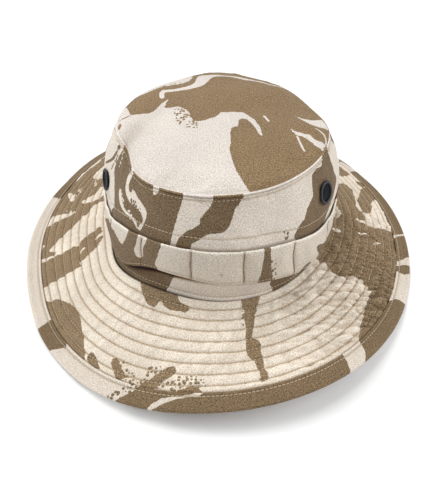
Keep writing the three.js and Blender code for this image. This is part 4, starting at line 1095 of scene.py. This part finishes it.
# the fan turns the same way as the quads
plan = np.concatenate([np.stack([x, y], -1).reshape(-1, 2), [[0, 0], [0, 0]]])
make("crown_top_cloth", points, quads, np.concatenate([fan[:, [0, 2, 1]], fan_in[:, [0, 2, 1]]]),
     values={"brown": with_centre(brown, brown[:, 0].mean(), 0), "specks": with_centre(specks, 0, 0), "painted_shade_and_highlight": with_centre(painted_shade_and_highlight, 0, 0)},
     plan=plan, material=top_cloth, node="crown_top")

# ---- the loop band
N = 900
deg = np.arange(N) * 360.0 / N
section = ([(0.03, 0.05), (0.0, 0.45), (0.012, 0.9), (0.035, 1.2)] + [(v, BAND_T) for v in (0.06, 0.075, 0.09, 0.105, 0.14, 0.2, 0.28, 0.36, 0.45, 0.54, 0.63, 0.72, 0.8, 0.87, 0.92)]
           + [(0.955, 1.42), (0.98, 1.34), (0.995, 1.05), (1.0, 0.7), (0.993, 0.3), (0.97, 0.05)] + [(v, 0.0) for v in (0.8, 0.55, 0.3)])
sec_v, sec_h = np.array([s[0] for s in section]), np.array([s[1] for s in section])
D, V = np.meshgrid(deg, sec_v, indexing="ij")
H = np.broadcast_to(sec_h, D.shape)
points = band_face(D, V, H)
low, high = at("bandLow", D), at("bandHigh", D)
AB = low + (high - low) * V
brown, specks = pattern(D, AB, BAND_PATCHES, BAND_SPECKLES, 131, True)
tack = tacked(D, 0.5)
# painted shade at its row of stitching, at its tacks and under its bottom edge, and a small darker spot near 271
# degrees; painted highlight along its folded top edge
painted_shade_and_highlight = (0.3 * bell(AB, low + 2.2, 0.6) * (H > 1) - 0.75 * bell(V, 0.985, 0.028) * (H > 0.5) + 0.8 * tack * (H > 1) + 0.5 * (V < 0.02)
          + 0.9 * np.exp(-(np.hypot(turn(D, 271.2) * 1.7, AB - 26.5) / 0.8) ** 2) * (H > 1))
quads, col, row = ring_quads(N, len(section))
run = np.cumsum(np.r_[0, np.hypot(np.diff(sec_v) * 25, np.diff(sec_h))])
corners = np.stack([col * (2 * np.pi * 96 / N), run[row]], -1)
make("loop_band_cloth", points, quads, values={"brown": brown, "specks": specks, "painted_shade_and_highlight": painted_shade_and_highlight}, corners=corners,
     material=band_cloth, node="loop_band")


def band_out(d, v):
    return band_face(d, v, BAND_T + 0 * v)


band_rows = [sewn_row(band_out, fine_deg, 2.2 / (at("bandHigh", fine_deg) - at("bandLow", fine_deg)), length=2.1, width=0.42, lift=0.05)]
stitches("band_row", band_rows, pale_thread)
band_tacks = []
for t in TACKS:
    v = np.linspace(0.1, 0.95, 60)
    band_tacks.append(sewn_row(band_out, t + 0.25 * np.sin(v * 9), v, pitch=2.2, length=2.1, width=0.62, lift=0.08, closed=False))
stitches("band_tacks", band_tacks, tack_thread)


# ---- the vents: a rolled, enamelled rim and its woven wire screen
def turned(profile, sides):
    """Points and quads of a closed profile turned about its own axis."""
    c = np.arange(sides) * 2 * np.pi / sides
    rr, zz = np.array(profile, float).T
    pts = np.stack([rr * np.cos(c)[:, None], rr * np.sin(c)[:, None], np.broadcast_to(zz, (sides, len(rr)))], -1)
    return pts.reshape(-1, 3), ring_quads(sides, len(rr))[0]


roll = [(7.15 + 1.1 * math.cos(t), 1.15 + 0.72 * math.sin(t)) for t in np.radians(np.arange(-75, 200, 15))]
RIM = roll + [(6.05, 0.6), (6.0, 0.2), (6.0, -4.2), (6.3, -4.5), (7.0, -4.55), (7.5, -4.35), (7.4, -3.95), (6.65, -3.9), (6.6, -0.2), (6.7, 0.4)]


def wire(start, end, phase, pitch, radius=0.13, sides=6):
    """A wire of the screen, weaving over and under the ones it crosses."""
    length = np.linalg.norm(end - start)
    t = np.linspace(0, length, max(5, int(length / (pitch / 3.0))))
    along = (end - start) / length
    mid = start + along * t[:, None]
    if abs(along[0]) > 0.5:
        wave = np.cos(np.pi * (mid[:, 0] / pitch + phase))
    else:
        wave = -np.cos(np.pi * (mid[:, 1] / pitch + phase))
    mid = mid + np.array([0, 0, 1.0]) * (wave * radius * 0.95)[:, None]
    across = np.cross([0, 0, 1.0], along)
    c = np.arange(sides) * 2 * np.pi / sides
    pts = mid[:, None] + radius * (np.cos(c)[:, None] * across + np.sin(c)[:, None] * np.array([0, 0, 1.0]))
    n = len(t)
    i, j = np.meshgrid(np.arange(n - 1), np.arange(sides), indexing="ij")
    i, j = i.ravel(), j.ravel()
    q = np.stack([i * sides + j, (i + 1) * sides + j, (i + 1) * sides + (j + 1) % sides, i * sides + (j + 1) % sides], 1)
    ends = [[0, k + 1, k] if e == 0 else [(n - 1) * sides, (n - 1) * sides + k, (n - 1) * sides + k + 1] for e in (0, 1) for k in range(1, sides - 1)]
    return pts.reshape(-1, 3), q, np.array(ends)


for which, vd, val in VENTS:
    origin, vx, vy, vz = vent_place(vd, val)
    basis = np.stack([vx, vy, vz])
    pts, q = turned(RIM, 72)
    make("vent_rim_" + which + "_enamel", pts @ basis + origin, q, material=vent_enamel, node="vent_rim_" + which)
    parts, pitch, n0 = [], 0.78, 0
    for k in range(-7, 8):
        s = k * pitch
        half = math.sqrt(max(5.98**2 - s * s, 0.0))
        if half > 1.2:
            parts.append(wire(np.array([-half, s, 0.65]), np.array([half, s, 0.65]), k, pitch))
            parts.append(wire(np.array([s, -half, 0.65]), np.array([s, half, 0.65]), k, pitch))
    P, Q4, T3 = [], [], []
    for p, q, t in parts:
        P.append(p)
        Q4.append(q + n0)
        T3.append(t + n0)
        n0 += len(p)
    make("vent_screen_" + which + "_wire", np.concatenate(P) @ basis + origin, np.concatenate(Q4), np.concatenate(T3),
         material=vent_wire, node="vent_screen_" + which)

# ---------------------------------------------------------------- floor and light
floor_mat = Nodes("pale_floor")
floor_mat.shader.inputs["Base Color"].default_value = (0.97, 0.97, 0.97, 1)
floor_mat.shader.inputs["Roughness"].default_value = 0.9
floor_mat.shader.inputs["Specular IOR Level"].default_value = 0.1
floor_data = bpy.data.meshes.new("floor")
floor_data.from_pydata([(-4, -4, 0), (4, -4, 0), (4, 4, 0), (-4, 4, 0)], [], [(0, 1, 2, 3)])
floor_data.materials.append(floor_mat.mat)
floor = bpy.data.objects.new("floor", floor_data)
bpy.context.scene.collection.objects.link(floor)

world = bpy.data.worlds.new("studio")
bpy.context.scene.world = world
world.use_nodes = True
world.node_tree.nodes["Background"].inputs["Color"].default_value = (1.0, 1.0, 1.0, 1)
world.node_tree.nodes["Background"].inputs["Strength"].default_value = 0.36


def softbox(name, spot, aim, size, power, colour):
    light = bpy.data.lights.new(name, "AREA")
    light.shape = "SQUARE"
    light.size = size
    light.energy = power
    light.color = colour
    o = bpy.data.objects.new(name, light)
    o.location = spot
    o.rotation_mode = "QUATERNION"
    o.rotation_quaternion = (Vector(aim) - Vector(spot)).to_track_quat("-Z", "Y")
    bpy.context.scene.collection.objects.link(o)


softbox("key", (-0.5, 0.5, 1.6), (0, 0, 0.05), 1.0, 15.5, (1.0, 0.99, 0.97))
softbox("fill", (0.4, -1.2, 1.0), (0, 0, 0.05), 1.2, 5.5, (1.0, 0.985, 0.965))
softbox("left", (-1.35, 0.0, 0.6), (0, 0, 0.05), 0.8, 10.0, (0.9, 0.96, 1.0))
softbox("right", (1.3, 0.0, 0.65), (0, 0, 0.05), 0.8, 10.5, (0.93, 0.97, 1.0))
bpy.context.scene.view_settings.view_transform = "Standard"
